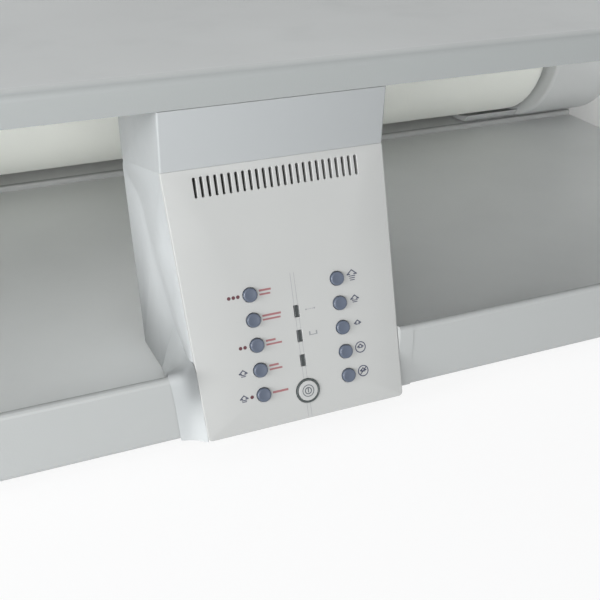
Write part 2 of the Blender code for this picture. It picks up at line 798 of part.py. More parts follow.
def roller(axis):
    """Roller: steel tube, felt padding and cloth cover, with end discs, journals and gear."""
    half = half_roller
    cover_inner = roller_radius - cover_cloth
    tube_outer = cover_inner - padding_thickness
    edge = roller_end_radius
    profile = [(tube_outer + gap, half)]
    profile += [(roller_radius - edge + u, half - edge + v)
                for u, v in arc((0, 0), edge, math.pi / 2, 0, 4)]
    profile += [(roller_radius - edge + u, -half + edge + v)
                for u, v in arc((0, 0), edge, 0, -math.pi / 2, 4)]
    profile += [(tube_outer + gap, -half), (tube_outer + gap, -half + cover_cloth)]
    inner = edge - cover_cloth
    profile += [(cover_inner - inner + u, -half + edge + v)
                for u, v in arc((0, 0), inner, -math.pi / 2, 0, 3)]
    profile += [(cover_inner - inner + u, half - edge + v)
                for u, v in arc((0, 0), inner, 0, math.pi / 2, 3)]
    profile += [(tube_outer + gap, half - cover_cloth), (tube_outer + gap, half)]
    smooth(place("roller_cover", along_x(turned_mesh("roller_cover", profile, 48)), cloth, axis))
    pad_end = half - cover_cloth - gap
    pad_outer = cover_inner - gap
    soft = inner
    profile = [(tube_outer + gap, pad_end), (pad_outer - soft, pad_end), (pad_outer, pad_end - soft)]
    profile += [(pad_outer, -pad_end + soft), (pad_outer - soft, -pad_end)]
    profile += [(tube_outer + gap, -pad_end)]
    profile += [(tube_outer + gap, pad_end)]
    smooth(place("roller_padding", along_x(turned_mesh("roller_padding", profile, 32)), felt, axis))
    tube_inner = tube_outer - tube_wall
    tube = ring_mesh("roller_tube", tube_inner, tube_outer, -half + cover_cloth, half - cover_cloth, 32)
    smooth(place("roller_tube", along_x(tube), steel, axis))
    journal_end = half_roller + housing_end_gap + gear_inset + gear_width
    for side, word in ((-1, "left"), (1, "right")):
        face = half - cover_cloth - gap
        disc = ring_mesh("disc", journal_radius + gap, tube_inner - gap, face - end_disc_thickness,
                         face, 32)
        flange_top = face - end_disc_thickness - gap
        profile = [(0, journal_end), (journal_radius, journal_end), (journal_radius, flange_top),
                   (journal_flange_radius, flange_top),
                   (journal_flange_radius, flange_top - journal_flange_thickness),
                   (0, flange_top - journal_flange_thickness)]
        journal = turned_mesh("journal", profile, 24)
        for mesh, piece in ((disc, "_end_disc"), (journal, "_journal")):
            along_x(mesh)
            if side < 0:
                mesh.transform(Matrix.Rotation(math.pi, 4, "Z"))
            smooth(place(word + piece, mesh, steel, axis))


def gear_outline(teeth, first_angle):
    """Straight-sided teeth round a wheel; the first tooth stands at first_angle."""
    pitch_radius = gear_module * teeth / 2
    tip = pitch_radius + gear_module * tooth_depth_share
    root = pitch_radius - gear_module * tooth_root_share
    pitch = math.tau / teeth
    points = []
    for tooth in range(teeth):
        middle = first_angle + tooth * pitch
        for radius, share in ((root, -tooth_root_width_share), (tip, -tooth_tip_width_share),
                              (tip, tooth_tip_width_share), (root, tooth_root_width_share)):
            angle = middle + share * pitch / 2
            points.append((radius * math.cos(angle), radius * math.sin(angle)))
    return points


def drive_train(axis):
    """Drive gear on the right journal, the pinion that turns it, and the geared motor."""
    low = housing_x + gear_inset
    bore = arc((0, 0), journal_radius + gap, 0, math.tau, 24)[:-1]
    outline = gear_outline(gear_teeth, pinion_angle)
    mesh = section_mesh("drive_gear", [outline, bore], low, low + gear_width)
    place("drive_gear", mesh, dark_plastic, axis)
    centre_distance = gear_module * (gear_teeth + pinion_teeth) / 2
    pinion_y = roller_y + centre_distance * math.cos(pinion_angle)
    pinion_z = roller_z + centre_distance * math.sin(pinion_angle)
    shaft = guide("pinion_axis", (0, pinion_y, pinion_z))
    half_pitch = math.pi / pinion_teeth
    outline = gear_outline(pinion_teeth, pinion_angle + math.pi + half_pitch)
    mesh = section_mesh("motor_pinion", [outline], low, low + gear_width)
    pinion = place("motor_pinion", mesh, brass, shaft)
    motor_low = low + gear_width + 2 * motor_flange_thickness
    end = motor_low - gap
    join(pinion, drum_mesh("pinion_shaft", pinion_shaft_radius, low + gear_width / 2, end, 12), shaft)
    half = motor_flange / 2
    plate = (motor_low, pinion_y - half, pinion_z - half)
    far = (motor_low + motor_flange_thickness, pinion_y + half, pinion_z + half)
    motor = place("gear_motor", box_mesh("gear_motor", plate, far), steel)
    centre = (pinion_y, pinion_z)
    join(motor, drum_mesh("motor_can", motor_radius, motor_low + motor_flange_thickness / 2,
                          motor_low + motor_length, 24, "X", centre))
    post_low = housing_x + frame_plate_inset + frame_plate_thickness + gap
    reach = half - 2 * motor_post_radius
    for y, z in ((reach, reach), (reach, -reach), (-reach, reach)):
        join(motor, drum_mesh("motor_post", motor_post_radius, post_low,
                              motor_low + motor_flange_thickness / 2, 12, "X",
                              (pinion_y + y, pinion_z + z)))


def bearings():
    """Plain bearings that carry the journals in the frame plates."""
    middle = housing_x + frame_plate_inset + frame_plate_thickness / 2
    for side, word in ((-1, "left"), (1, "right")):
        mesh = ring_mesh("bearing", journal_radius + running_gap, bearing_radius,
                         side * middle - bearing_width / 2, side * middle + bearing_width / 2, 24)
        smooth(place(word + "_bearing", along_x(mesh, (roller_y, roller_z)), brass))


def frame_plates():
    """Steel uprights on the chassis, inside the end housings: bearing, hinge pin and drives."""
    base = housing_bottom_z
    back = rear_inner_y - 2 * moulding_wall
    front = roller_y - 2 * bearing_radius
    low_front = roller_y + arm_boss_radius / 2
    top = base + frame_plate_height
    outline = [(low_front, base), (back, base), (back, top), (front, roller_z + 2 * bearing_radius),
               (front, roller_z - 2 * bearing_radius)]
    for side, word in ((-1, "left"), (1, "right")):
        holes = [outline, arc((roller_y, roller_z), bearing_radius + gap, 0, math.tau, 24)[:-1],
                 arc((pivot_y, pivot_z), pin_radius + gap, 0, math.tau, 16)[:-1]]
        near = side * (housing_x + frame_plate_inset)
        low, high = sorted((near, near + side * frame_plate_thickness))
        place(word + "_frame_plate", section_mesh("frame_plate", holes, low, high), steel)


def shoe_to_world(point):
    """A place (y, z) of the closed shoe, carried to where the open shoe holds it."""
    y = point[0] - pivot_y
    z = point[1] - pivot_z
    return (pivot_y + y * math.cos(open_turn) - z * math.sin(open_turn),
            pivot_z + y * math.sin(open_turn) + z * math.cos(open_turn))


def follower_place():
    """The cam follower's centre (y, z) from the pivot, with the shoe closed."""
    return (-follower_reach, -follower_drop)


def cam_place():
    """The press cam's axis (y, z): just above the follower when the shoe is open."""
    y, z = follower_place()
    open_y, open_z = shoe_to_world((pivot_y + y, pivot_z + z))
    return (open_y, open_z + follower_radius + cam_rest_gap + cam_radius - cam_throw)


def sector(inner, outer, low, high, steps):
    """Outline of a part of a ring about the roller's axis, from the pivot's place."""
    centre = (-pivot_setback, pivot_drop)
    return arc(centre, outer, low, high, steps) + arc(centre, inner, high, low, steps)


def on_shoe(radius, angle):
    """A place (y, z) at a radius and angle about the roller's axis, from the pivot's place."""
    return (-pivot_setback + radius * math.cos(angle), pivot_drop + radius * math.sin(angle))


def heated_shoe(pivot):
    """Concave heated plate, its casing and end plates, element, thermostat and fuse."""
    inner = roller_radius + press_gap
    outer = inner + shoe_plate
    half = half_roller
    plate = sector(inner, outer, shoe_wrap_low, shoe_wrap_high, 24)
    smooth(place("heating_shoe", section_mesh("heating_shoe", [plate], -half, half), aluminium, pivot))
    centre = (-pivot_setback, pivot_drop)
    seat = outer + gap
    wall_inner = casing_radius - casing_wall
    trim = casing_wall / casing_radius
    casing = arc(centre, casing_radius, casing_wrap_low, shoe_wrap_high, 20)
    casing += [on_shoe(seat, shoe_wrap_high), on_shoe(seat, shoe_wrap_high - trim)]
    casing += arc(centre, wall_inner, shoe_wrap_high - trim, casing_wrap_low + trim, 20)
    casing += [on_shoe(seat, casing_wrap_low + trim), on_shoe(seat, casing_wrap_low)]
    shell = place("shoe_casing", section_mesh("shoe_casing", [casing], -half, half), moulded_white,
                  pivot)
    end_sector = sector(seat, casing_radius - casing_wall / 2, casing_wrap_low + trim / 2,
                        shoe_wrap_high - trim / 2, 20)
    for side in (-1, 1):
        low, high = sorted((side * (half - casing_wall / 2), side * (half - shoe_end_plate)))
        join(shell, section_mesh("end_plate", [end_sector], low, high), pivot)
    smooth(shell)
    heating_element(pivot, seat + element_radius)
    y, z = on_shoe(seat, thermostat_angle)
    sides = (0, thermostat_angle - math.pi / 2, 0)
    turn = (thermostat_angle - math.pi / 2, 0, 0)
    body = turned_mesh("thermostat", [(0, thermostat_height), (thermostat_radius, thermostat_height),
                                      (thermostat_radius, 0), (0, 0)], 16)
    smooth(place("thermostat", body, dark_plastic, pivot, (thermostat_x, y, z), turn))
    half_fuse = fuse_length / 2
    low = (-half_fuse, -fuse_width / 2, 0)
    fuse = box_mesh("thermal_fuse", low, (half_fuse, fuse_width / 2, fuse_width))
    place("thermal_fuse", fuse, steel, pivot, (-thermostat_x, y, z), turn)


def heating_element(pivot, radius):
    """Tubular element: two runs along the shoe's back, joined by a bend at the left end."""
    run = half_roller - element_end_inset
    middle = (element_low + element_high) / 2
    bend = radius * (element_high - element_low) / 2
    path = []
    for x in (run, run / 3, -run / 3):
        path.append((x, element_low))
    for step in range(13):
        angle = math.pi * step / 12
        path.append((-run + bend - bend * math.sin(angle),
                     middle - (element_high - element_low) / 2 * math.cos(angle)))
    for x in (-run / 3, run / 3, run):
        path.append((x, element_high))
    curve = bpy.data.curves.new("heating_element", "CURVE")
    curve.dimensions = "3D"
    curve.bevel_depth = element_radius - gap
    curve.bevel_resolution = 2
    curve.use_fill_caps = True
    spline = curve.splines.new("POLY")
    spline.points.add(len(path) - 1)
    for point, (x, angle) in zip(spline.points, path):
        point.co = (x, *on_shoe(radius, angle), 1)
    own = steel.copy()
    own.name = "heating_element"
    curve.materials.append(own)
    element = bpy.data.objects.new("heating_element", curve)
    element.parent = pivot
    model.objects.link(element)


def shoe_arms(pivot):
    """Arms in the end housings that carry the shoe on the hinge pins; the left one has the lever."""
    lug_radius = casing_radius - casing_wall - arm_lug_depth
    lug = on_shoe(lug_radius, arm_lug_angle)
    for side, word in ((-1, "left"), (1, "right")):
        near = side * (housing_x + arm_inset - arm_thickness / 2)
        low, high = sorted((near, near + side * arm_thickness))
        bars = [((0, 0), lug, arm_boss_radius, arm_lug_radius)]
        if side < 0:
            bars.append(((0, 0), follower_place(), arm_boss_radius, follower_radius))
        arm = None
        for start, end, first_radius, last_radius in bars:
            bm = bmesh.new()
            points = arc(start, first_radius, 0, math.tau, 16)[:-1]
            points += arc(end, last_radius, 0, math.tau, 16)[:-1]
            for x in (low, high):
                for y, z in points:
                    bm.verts.new((x, y, z))
            bmesh.ops.convex_hull(bm, input=bm.verts)
            mesh = mesh_from(bm, "arm")
            if arm is None:
                arm = place(word + "_shoe_arm", mesh, steel, pivot)
            else:
                join(arm, mesh, pivot)
        seat = half_roller - casing_wall / 2 + gap
        lug_low, lug_high = sorted((side * seat, near + side * arm_thickness / 2))
        boss = arm_lug_radius * lug_boss_share
        join(arm, drum_mesh("lug", boss, lug_low, lug_high, 16, "X", lug), pivot)
        cut(arm, drum_mesh("pin_hole", pin_radius + running_gap, low - overrun, high + overrun, 16),
            pivot)
    near = housing_x + arm_inset + arm_thickness / 2 + gap
    mesh = drum_mesh("cam_follower", follower_radius, -near - follower_width, -near, 16, "X",
                     follower_place())
    smooth(place("cam_follower", mesh, brass, pivot))


def hinge_pins():
    """Headed pins through the frame plates, on which the shoe's arms turn."""
    plate_far = frame_plate_inset + frame_plate_thickness
    start = arm_inset - arm_thickness
    for side, word in ((-1, "left"), (1, "right")):
        head = housing_x + plate_far + gap
        profile = [(0, head + pin_head_thickness), (pin_head_radius, head + pin_head_thickness),
                   (pin_head_radius, head), (pin_radius, head), (pin_radius, housing_x + start),
                   (0, housing_x + start)]
        mesh = along_x(turned_mesh("pin", profile, 16))
        if side < 0:
            mesh.transform(Matrix.Rotation(math.pi, 4, "Z"))
        mesh.transform(Matrix.Translation((0, pivot_y, pivot_z)))
        smooth(place(word + "_hinge_pin", mesh, steel))


def press_drive():
    """Eccentric press cam on its shaft, and the press motor that turns it."""
    cam_y, cam_z = cam_place()
    axis = guide("cam_axis", (0, cam_y, cam_z))
    near = -(housing_x + arm_inset + arm_thickness / 2 + gap)
    cam = place("press_cam", drum_mesh("press_cam", cam_radius, near - cam_width, near, 32, "X",
                                       (0, cam_throw)), brass, axis)
    motor_high = -(housing_x + frame_plate_inset + frame_plate_thickness + gap)
    join(cam, drum_mesh("cam_shaft", cam_shaft_radius, motor_high - overrun, near - cam_width / 2, 16),
         axis)
    smooth(cam)
    mesh = drum_mesh("press_motor", press_motor_radius, motor_high - press_motor_length, motor_high,
                     24, "X", (cam_y, cam_z))
    motor = place("press_motor", mesh, steel)
    bore = cam_shaft_radius + running_gap
    cut(motor, drum_mesh("shaft_bore", bore, motor_high - overrun - gap, motor_high + overrun, 16,
                         "X", (cam_y, cam_z)))
    plate = bpy.data.objects["left_frame_plate"]
    cut(plate, drum_mesh("shaft_hole", bore, motor_high - overrun, near + overrun, 16, "X",
                         (cam_y, cam_z)))


def housing_outline(inset=0.0, drop=0.0):
    """Side view of an end housing, (y, z): round in front about the roller, square behind."""
    radius = housing_radius - inset
    back = rear_inner_y - gap - inset
    base = housing_bottom_z - drop
    turn = math.acos(min(1.0, (roller_z - housing_bottom_z) / housing_radius))
    points = arc((roller_y, roller_z), radius, math.pi / 2, 1.5 * math.pi - turn, 20)
    if drop:
        points.append((points[-1][0], base))
    points += [(back, base), (back, roller_z + radius)]
    return points


def end_housings():
    """Moulded end housings; a guard tongue runs from each under the roller's end."""
    for side, word in ((-1, "left"), (1, "right")):
        low, high = sorted((side * housing_x, side * half_fit))
        mesh = section_mesh("end_housing", [housing_outline()], low, high)
        housing = place(word + "_end_housing", mesh, moulded_grey)
        near = side * (housing_x + moulding_wall)
        low, high = sorted((near, side * (half_inner + overrun)))
        cut(housing, section_mesh("housing_hollow", [housing_outline(moulding_wall, overrun)],
                                  low, high))
        low, high = sorted((side * (housing_x - overrun), side * (housing_x + 2 * overrun)))
        hole = drum_mesh("journal_hole", journal_hole_radius, low, high, 20, "X", (roller_y, roller_z))
        cut(housing, hole)
        inner = roller_radius + guard_clearance
        start = 1.5 * math.pi - guard_front_angle
        end = 1.5 * math.pi + guard_rear_angle
        centre = (roller_y, roller_z)
        tongue = arc(centre, housing_radius - gap, start, end, 10) + arc(centre, inner, end, start, 10)
        low, high = sorted((side * (housing_x - guard_reach), side * (housing_x + moulding_wall / 2)))
        join(housing, section_mesh("guard", [tongue], low, high))
        reach = casing_radius - casing_wall
        window_low = (side * (housing_x - overrun), roller_y + reach * window_reach_share,
                      roller_z - arm_lug_radius)
        window_high = (side * (housing_x + moulding_wall + overrun), rear_inner_y - 2 * moulding_wall,
                       roller_z + arm_window_height)
        corners = [sorted(pair) for pair in zip(window_low, window_high)]
        cut(housing, box_mesh("arm_window", [c[0] for c in corners], [c[1] for c in corners]))
        smooth(housing)


def rear_cover():
    """Rear cover with a forward top return, and the hole for the mains inlet."""
    base = housing_bottom_z
    top = floor_z + rear_cover_height
    radius = rear_cover_radius
    path = [(rear_outer_y, base)]
    path += arc((rear_outer_y - radius, top - radius), radius, 0, math.pi / 2, 5)
    path += [(rear_outer_y - radius - rear_cover_return, top)]
    cover = bent_sheet("rear_cover", path[::-1], -half_fit, half_fit, rear_sheet, painted_white)
    hole_low = (inlet_x - inlet_width / 2 - gap, rear_inner_y - overrun, floor_z + inlet_base - gap)
    hole_high = (inlet_x + inlet_width / 2 + gap, rear_outer_y + overrun,
                 floor_z + inlet_base + inlet_height + gap)
    cut(cover, box_mesh("inlet_hole", hole_low, hole_high))
    for side in (-1, 1):
        low_x, high_x = sorted((side * (housing_x - gap), side * (half_inner + overrun)))
        low = (low_x, rear_inner_y - 2 * radius, top - radius)
        cut(cover, box_mesh("end_relief", low, (high_x, rear_inner_y, top + overrun)))
    size = rail_size
    back = rear_inner_y - gap
    outer = [(back - size, base), (back, base), (back, base + size), (back - size, base + size)]
    wall = rail_wall
    inner = [(back - size + wall, base + wall), (back - wall, base + wall),
             (back - wall, base + size - wall), (back - size + wall, base + size - wall)]
    reach = housing_x - rail_clearance
    place("rear_rail", section_mesh("rear_rail", [outer, inner], -reach, reach), steel)


def mains_inlet():
    """Appliance inlet, flush in the rear cover, held by a flange inside."""
    low = (inlet_x - inlet_width / 2, rear_inner_y - inlet_depth, floor_z + inlet_base)
    high = (inlet_x + inlet_width / 2, rear_outer_y, floor_z + inlet_base + inlet_height)
    inlet = place("mains_inlet", box_mesh("mains_inlet", low, high), dark_plastic)
    flange_low = (low[0] - inlet_flange, rear_inner_y - gap - inlet_flange_thickness,
                  low[2] - inlet_flange)
    flange_high = (high[0] + inlet_flange, rear_inner_y - gap, high[2] + inlet_flange)
    join(inlet, box_mesh("flange", flange_low, flange_high))
    wall = inlet_flange_thickness
    socket_low = (low[0] + wall, rear_outer_y - inlet_socket_depth, low[2] + wall)
    cut(inlet, box_mesh("socket", socket_low, (high[0] - wall, rear_outer_y + overrun,
                                               high[2] - wall)))
    for index in (-1, 0, 1):
        x = inlet_x + index * inlet_pin_pitch
        z = (low[2] + high[2]) / 2
        half = inlet_pin_width / 2
        pin_low = (x - half, rear_outer_y - inlet_socket_depth - wall, z - inlet_pin_width)
        join(inlet, box_mesh("pin", pin_low, (x + half, rear_outer_y - wall, z + inlet_pin_width)))


lower_tray()
rear_chassis()
rubber_feet()
end_panels_and_caps()
feed_table()
panel_frame = guide("panel_frame", (0, crease_y, crease_z), (math.pi / 2 - fascia_tilt, 0, 0))
column_shell()
column_fascia(panel_frame)
control_board(panel_frame, buttons(panel_frame))
relay_board()
roller_axis = guide("roller_axis", (0, roller_y, roller_z))
roller(roller_axis)
drive_train(roller_axis)
bearings()
frame_plates()
shoe_pivot = guide("shoe_pivot", (0, pivot_y, pivot_z), (open_turn, 0, 0))
heated_shoe(shoe_pivot)
shoe_arms(shoe_pivot)
hinge_pins()
press_drive()
end_housings()
rear_cover()
mains_inlet()
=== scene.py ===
"""The looks of a table-top rotary ironer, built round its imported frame. Metres, +Z up."""

import math

import bmesh
import bpy
from mathutils import Matrix, Vector


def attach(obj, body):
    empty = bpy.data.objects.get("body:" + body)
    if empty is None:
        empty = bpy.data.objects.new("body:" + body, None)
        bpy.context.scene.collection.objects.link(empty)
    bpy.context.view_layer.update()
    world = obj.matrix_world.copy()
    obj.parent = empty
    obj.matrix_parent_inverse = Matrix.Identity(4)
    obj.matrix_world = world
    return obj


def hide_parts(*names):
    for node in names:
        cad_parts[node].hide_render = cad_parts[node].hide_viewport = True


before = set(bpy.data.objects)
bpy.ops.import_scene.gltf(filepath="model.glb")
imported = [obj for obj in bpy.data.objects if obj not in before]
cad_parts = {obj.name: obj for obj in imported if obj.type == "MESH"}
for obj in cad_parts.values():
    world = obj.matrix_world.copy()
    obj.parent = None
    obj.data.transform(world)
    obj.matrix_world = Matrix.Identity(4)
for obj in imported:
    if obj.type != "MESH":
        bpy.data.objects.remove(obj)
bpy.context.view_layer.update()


# The studio: a pale floor that runs up to a white background, a key lamp above the operator, three
# soft lamps low on the left and in front, and the camera where the photograph was taken from.

class Signal:
    """A socket in a node tree. Arithmetic on it adds Math nodes to the tree."""

    def __init__(self, nodes, socket):
        self.nodes = nodes
        self.socket = socket

    def maths(self, operation, first, second):
        return self.nodes.add("ShaderNodeMath", {"operation": operation}, {0: first, 1: second})

    def __add__(self, other):
        return self.maths("ADD", self, other)

    def __radd__(self, other):
        return self.maths("ADD", other, self)

    def __sub__(self, other):
        return self.maths("SUBTRACT", self, other)

    def __rsub__(self, other):
        return self.maths("SUBTRACT", other, self)

    def __mul__(self, other):
        return self.maths("MULTIPLY", self, other)

    def __rmul__(self, other):
        return self.maths("MULTIPLY", other, self)


class Nodes:
    """A node tree, and one way to add any node to it."""

    def __init__(self, tree):
        self.tree = tree

    def feed(self, socket, value):
        """Give an input its value, or the link that carries it."""
        if isinstance(value, Signal):
            self.tree.links.new(value.socket, socket)
        else:
            socket.default_value = value

    def add(self, kind, settings={}, inputs={}, output=0):
        """One node: its settings first, then the values or links of its inputs."""
        node = self.tree.nodes.new(kind)
        for name, value in settings.items():
            setattr(node, name, value)
        for name, value in inputs.items():
            self.feed(node.inputs[name], value)
        return Signal(self, node.outputs[output])

    def end(self, kind, signal):
        """Send a shader to the tree's output."""
        output = self.tree.nodes.new(kind)
        self.tree.links.new(signal.socket, output.inputs["Surface"])


def emptied(owner):
    """The owner's node tree with nothing in it."""
    owner.use_nodes = True
    owner.node_tree.nodes.clear()
    return Nodes(owner.node_tree)


ambient_level = 0.32
ambient_colour = (0.97, 0.985, 1.0, 1.0)
white = (1.0, 1.0, 1.0, 1.0)


def seen_rays(nodes):
    """1 for what the camera sees, straight, mirrored or through glass, and 0 for other light."""
    seen = nodes.add("ShaderNodeLightPath", output="Is Camera Ray")
    seen = seen + nodes.add("ShaderNodeLightPath", output="Is Glossy Ray")
    return seen + nodes.add("ShaderNodeLightPath", output="Is Transmission Ray")


world = bpy.data.worlds.new("studio")
bpy.context.scene.world = world
sky = emptied(world)
plain_sky = sky.add("ShaderNodeBackground",
                    inputs={"Color": ambient_colour, "Strength": ambient_level})
white_sky = sky.add("ShaderNodeBackground", inputs={"Color": white, "Strength": 1.0})
sky.end("ShaderNodeOutputWorld",
        sky.add("ShaderNodeMixShader", inputs={0: seen_rays(sky), 1: plain_sky, 2: white_sky}))

floor_half = 6.0
floor_colour = (0.86, 0.87, 0.88, 1.0)
floor_glow_share = 0.86

bm = bmesh.new()
bmesh.ops.create_grid(bm, x_segments=1, y_segments=1, size=floor_half)
floor_mesh = bpy.data.meshes.new("studio_floor")
bm.to_mesh(floor_mesh)
bm.free()
floor = bpy.data.objects.new("studio_floor", floor_mesh)
bpy.context.scene.collection.objects.link(floor)
floor_material = bpy.data.materials.new("studio_floor")
floor_nodes = emptied(floor_material)
plain_floor = floor_nodes.add("ShaderNodeBsdfDiffuse", inputs={"Color": floor_colour})
white_floor = floor_nodes.add("ShaderNodeEmission", inputs={"Color": white, "Strength": 1.0})
floor_glow = seen_rays(floor_nodes) * floor_glow_share
floor_nodes.end("ShaderNodeOutputMaterial",
                floor_nodes.add("ShaderNodeMixShader",
                                inputs={0: floor_glow, 1: plain_floor, 2: white_floor}))
floor_mesh.materials.append(floor_material)

lamp_target = Vector((0.0, 0.0, 0.12))
lamp_list = (
    ("key_lamp", (-1.0, -2.4, 1.6), 1.2, 17.0),
    ("left_lamp", (-2.2, -0.8, 0.55), 1.0, 58.0),
    ("left_front_lamp", (-1.6, -1.9, 0.5), 1.2, 22.0),
    ("front_lamp", (-0.5, -2.4, 0.3), 1.2, 22.0),
)
for name, place, width, watts in lamp_list:
    lamp = bpy.data.lights.new(name, "AREA")
    lamp.shape = "DISK"
    lamp.size = width
    lamp.energy = watts
    holder = bpy.data.objects.new(name, lamp)
    holder.location = place
    holder.rotation_euler = (lamp_target - Vector(place)).to_track_quat("-Z", "Y").to_euler()
    bpy.context.scene.collection.objects.link(holder)

camera_place = (-0.1685, -0.6925, 0.3325)
camera_turn = (math.radians(61.05), 0.0, math.radians(-22.16))
camera_data = bpy.data.cameras.new("photograph")
camera_data.lens = 54.0
camera_data.sensor_width = 36.0
camera_data.clip_start = 0.01
camera = bpy.data.objects.new("photograph", camera_data)
camera.location = camera_place
camera.rotation_euler = camera_turn
bpy.context.scene.collection.objects.link(camera)
bpy.context.scene.camera = camera
bpy.context.scene.view_settings.view_transform = "Standard"


# Lower tray: the folded sheet-steel pan that the laundry slides out on, with a beaded lip in front.
# It is powder coated, so the paint has a fine orange-peel skin and a few dull rubbed patches.

def principled(nodes, colour, roughness, metallic=0.0, height=None, bump=0.1, depth=0.001, **more):
    """Finish a tree with a Principled shader; height, where given, raises its surface."""
    inputs = {"Base Color": colour, "Roughness": roughness, "Metallic": metallic}
    for name, value in more.items():
        inputs[name.replace("_", " ")] = value
    if height is not None:
        inputs["Normal"] = nodes.add("ShaderNodeBump", inputs={"Strength": bump, "Distance": depth,
                                                               "Height": height})
    nodes.end("ShaderNodeOutputMaterial",
              nodes.add("ShaderNodeBsdfPrincipled", inputs=inputs))


def noise(nodes, place, scale, detail=2.0, roughness=0.5):
    """Soft noise, scale in marks per metre."""
    return nodes.add("ShaderNodeTexNoise", {}, {"Vector": place, "Scale": scale, "Detail": detail,
                                                "Roughness": roughness})


def blend(nodes, share, first, second):
    """A colour between two colours."""
    return nodes.add("ShaderNodeMix", {"data_type": "RGBA"},
                     {"Factor": share, "A": first, "B": second}, output=2)


def levels(nodes, value, low, high):
    """The value spread from 0 at low to 1 at high, and held there."""
    return nodes.add("ShaderNodeMapRange", {"clamp": True},
                     {"Value": value, "From Min": low, "From Max": high})


skin_detail = 3.0
skin_depth = 0.0004
skin_roughness = 0.08
drift_scale = 7.0
drift_levels = (0.35, 0.65)
patch_scale = 22.0
patch_detail = 5.0
patch_roughness = 0.65
patch_levels = (0.52, 0.72)


def coated(name, colour, grain=900.0, bump=0.12, roughness=0.42, shift=0.06, rub=0.10, painted_shade=None):
    """Paint or moulding: a fine skin, slow drifts of colour, and dull rubbed patches. Where
    painted_shade is given, it is painted shade: a darker colour for the piece's front, and the two
    Y values between which it fades out."""
    material = bpy.data.materials.new(name)
    nodes = emptied(material)
    place = nodes.add("ShaderNodeTexCoord", output="Object")
    skin = noise(nodes, place, grain, skin_detail)
    drift = noise(nodes, place, drift_scale, skin_detail)
    patch = levels(nodes, noise(nodes, place, patch_scale, patch_detail, patch_roughness),
                   *patch_levels)
    darker = (*(channel * (1.0 - shift) for channel in colour[:3]), 1.0)
    tone = blend(nodes, levels(nodes, drift, *drift_levels), darker, (*colour[:3], 1.0))
    rubbed = (*(channel * (1.0 - 0.5 * rub) for channel in colour[:3]), 1.0)
    tone = blend(nodes, patch * rub, tone, rubbed)
    # Painted shade: towards the piece's front the colour is blended to a darker one.
    if painted_shade is not None:
        shade_colour, (front_y, rear_y) = painted_shade
        depth_y = nodes.add("ShaderNodeSeparateXYZ", inputs={"Vector": place}, output="Y")
        tone = blend(nodes, levels(nodes, depth_y, front_y, rear_y), (*shade_colour, 1.0), tone)
    principled(nodes, tone, roughness + patch * rub + (skin - 0.5) * skin_roughness, height=skin,
               bump=bump, depth=skin_depth)
    return material


def dress(material, *names):
    """Give nodes of the frame a finish."""
    for name in names:
        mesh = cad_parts[name].data
        mesh.materials.clear()
        mesh.materials.append(material)


tray_white = (0.760, 0.776, 0.770)
# Painted shade: the front face of the lip is painted dark grey instead of the tray's white, so that
# it renders darker than the light on it gives.
lip_painted_shade_grey = (0.318, 0.329, 0.327)
lip_painted_shade_y = (-0.2800, -0.2790)
tray_paint = coated("powder_coat", tray_white, painted_shade=(lip_painted_shade_grey, lip_painted_shade_y))
dress(tray_paint, "lower_tray")

# Painted light and shade: the chassis and rear cover are painted paler than the tray, to lift the
# shade under the roller, and the chassis' front face is painted grey, a painted shade that dims its
# lit edge.
chassis_painted_light_white = (0.860, 0.870, 0.865)
chassis_painted_shade_grey = (0.450, 0.459, 0.455)
chassis_painted_shade_y = (0.1434, 0.1446)
chassis_paint = coated("chassis_paint", chassis_painted_light_white, painted_shade=(chassis_painted_shade_grey, chassis_painted_shade_y))
dress(chassis_paint, "rear_chassis", "rear_cover")


# Column: one hollow moulding in satin white, its flanks creased from the shoulder at the back down
# to the foot of the panel. Two small pieces beside it cover the cut ends of the tray's lip.

quarter = math.pi / 2
merge_distance = 1e-6


def made(name, bm, body, slot, *materials, smooth=math.radians(35)):
    """Turn a bmesh into a piece of the ironer that rides on a body."""
    bmesh.ops.remove_doubles(bm, verts=bm.verts, dist=merge_distance)
    bmesh.ops.recalc_face_normals(bm, faces=bm.faces)
    mesh = bpy.data.meshes.new(name)
    bm.to_mesh(mesh)
    bm.free()
    for face in mesh.polygons:
        face.use_smooth = True
    mesh.set_sharp_from_angle(angle=smooth)
    for material in materials:
        mesh.materials.append(material)
    piece = bpy.data.objects.new(name, mesh)
    bpy.context.scene.collection.objects.link(piece)
    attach(piece, body)
    return piece


def rounded(bm, edges, width, segments=4):
    """Round some edges."""
    bmesh.ops.bevel(bm, geom=edges, offset=width, offset_type="OFFSET", affect="EDGES",
                    segments=segments, profile=0.5, material=-1, clamp_overlap=True)


column_y = -0.242362
tray_floor_z = 0.0135
panel_tilt = math.radians(19.7)
panel_length = 0.1535
panel_reach = panel_length * math.sin(panel_tilt)
panel_rise = panel_length * math.cos(panel_tilt)
panel_thickness = 0.0030
seam = 0.00006
hood_rise = 0.0342
hood_lean = 0.0026
hood_half_width = 0.0666
foot_half_width = 0.0620
column_wall = 0.0025
column_place = Matrix.Translation((0.0, column_y, tray_floor_z))
crease_place = column_place @ Matrix.Translation((0.0, 0.0, panel_rise))
panel_place = crease_place @ Matrix.Rotation(quarter - panel_tilt, 4, "X")

# Painted light and shade: the one moulding is painted dark at its front and light at its rear,
# fading between the two Y values, to set the tones of its front and flanks.
moulding_white = (0.420, 0.438, 0.444)
column_front_painted_shade = (0.262, 0.275, 0.280)
column_painted_shade_y = (-0.2620, -0.1650)
column_plastic = coated("column_moulding", moulding_white, grain=2600.0, bump=0.10, roughness=0.50,
                        painted_shade=(column_front_painted_shade, column_painted_shade_y))

edge_shares = (0.0, 0.3, 0.6, 0.8)
rebate = panel_thickness + seam
rebate_y = rebate * math.cos(panel_tilt)
rebate_z = -rebate * math.sin(panel_tilt)
hood_top = panel_rise + hood_rise
foot_lift = 0.0003

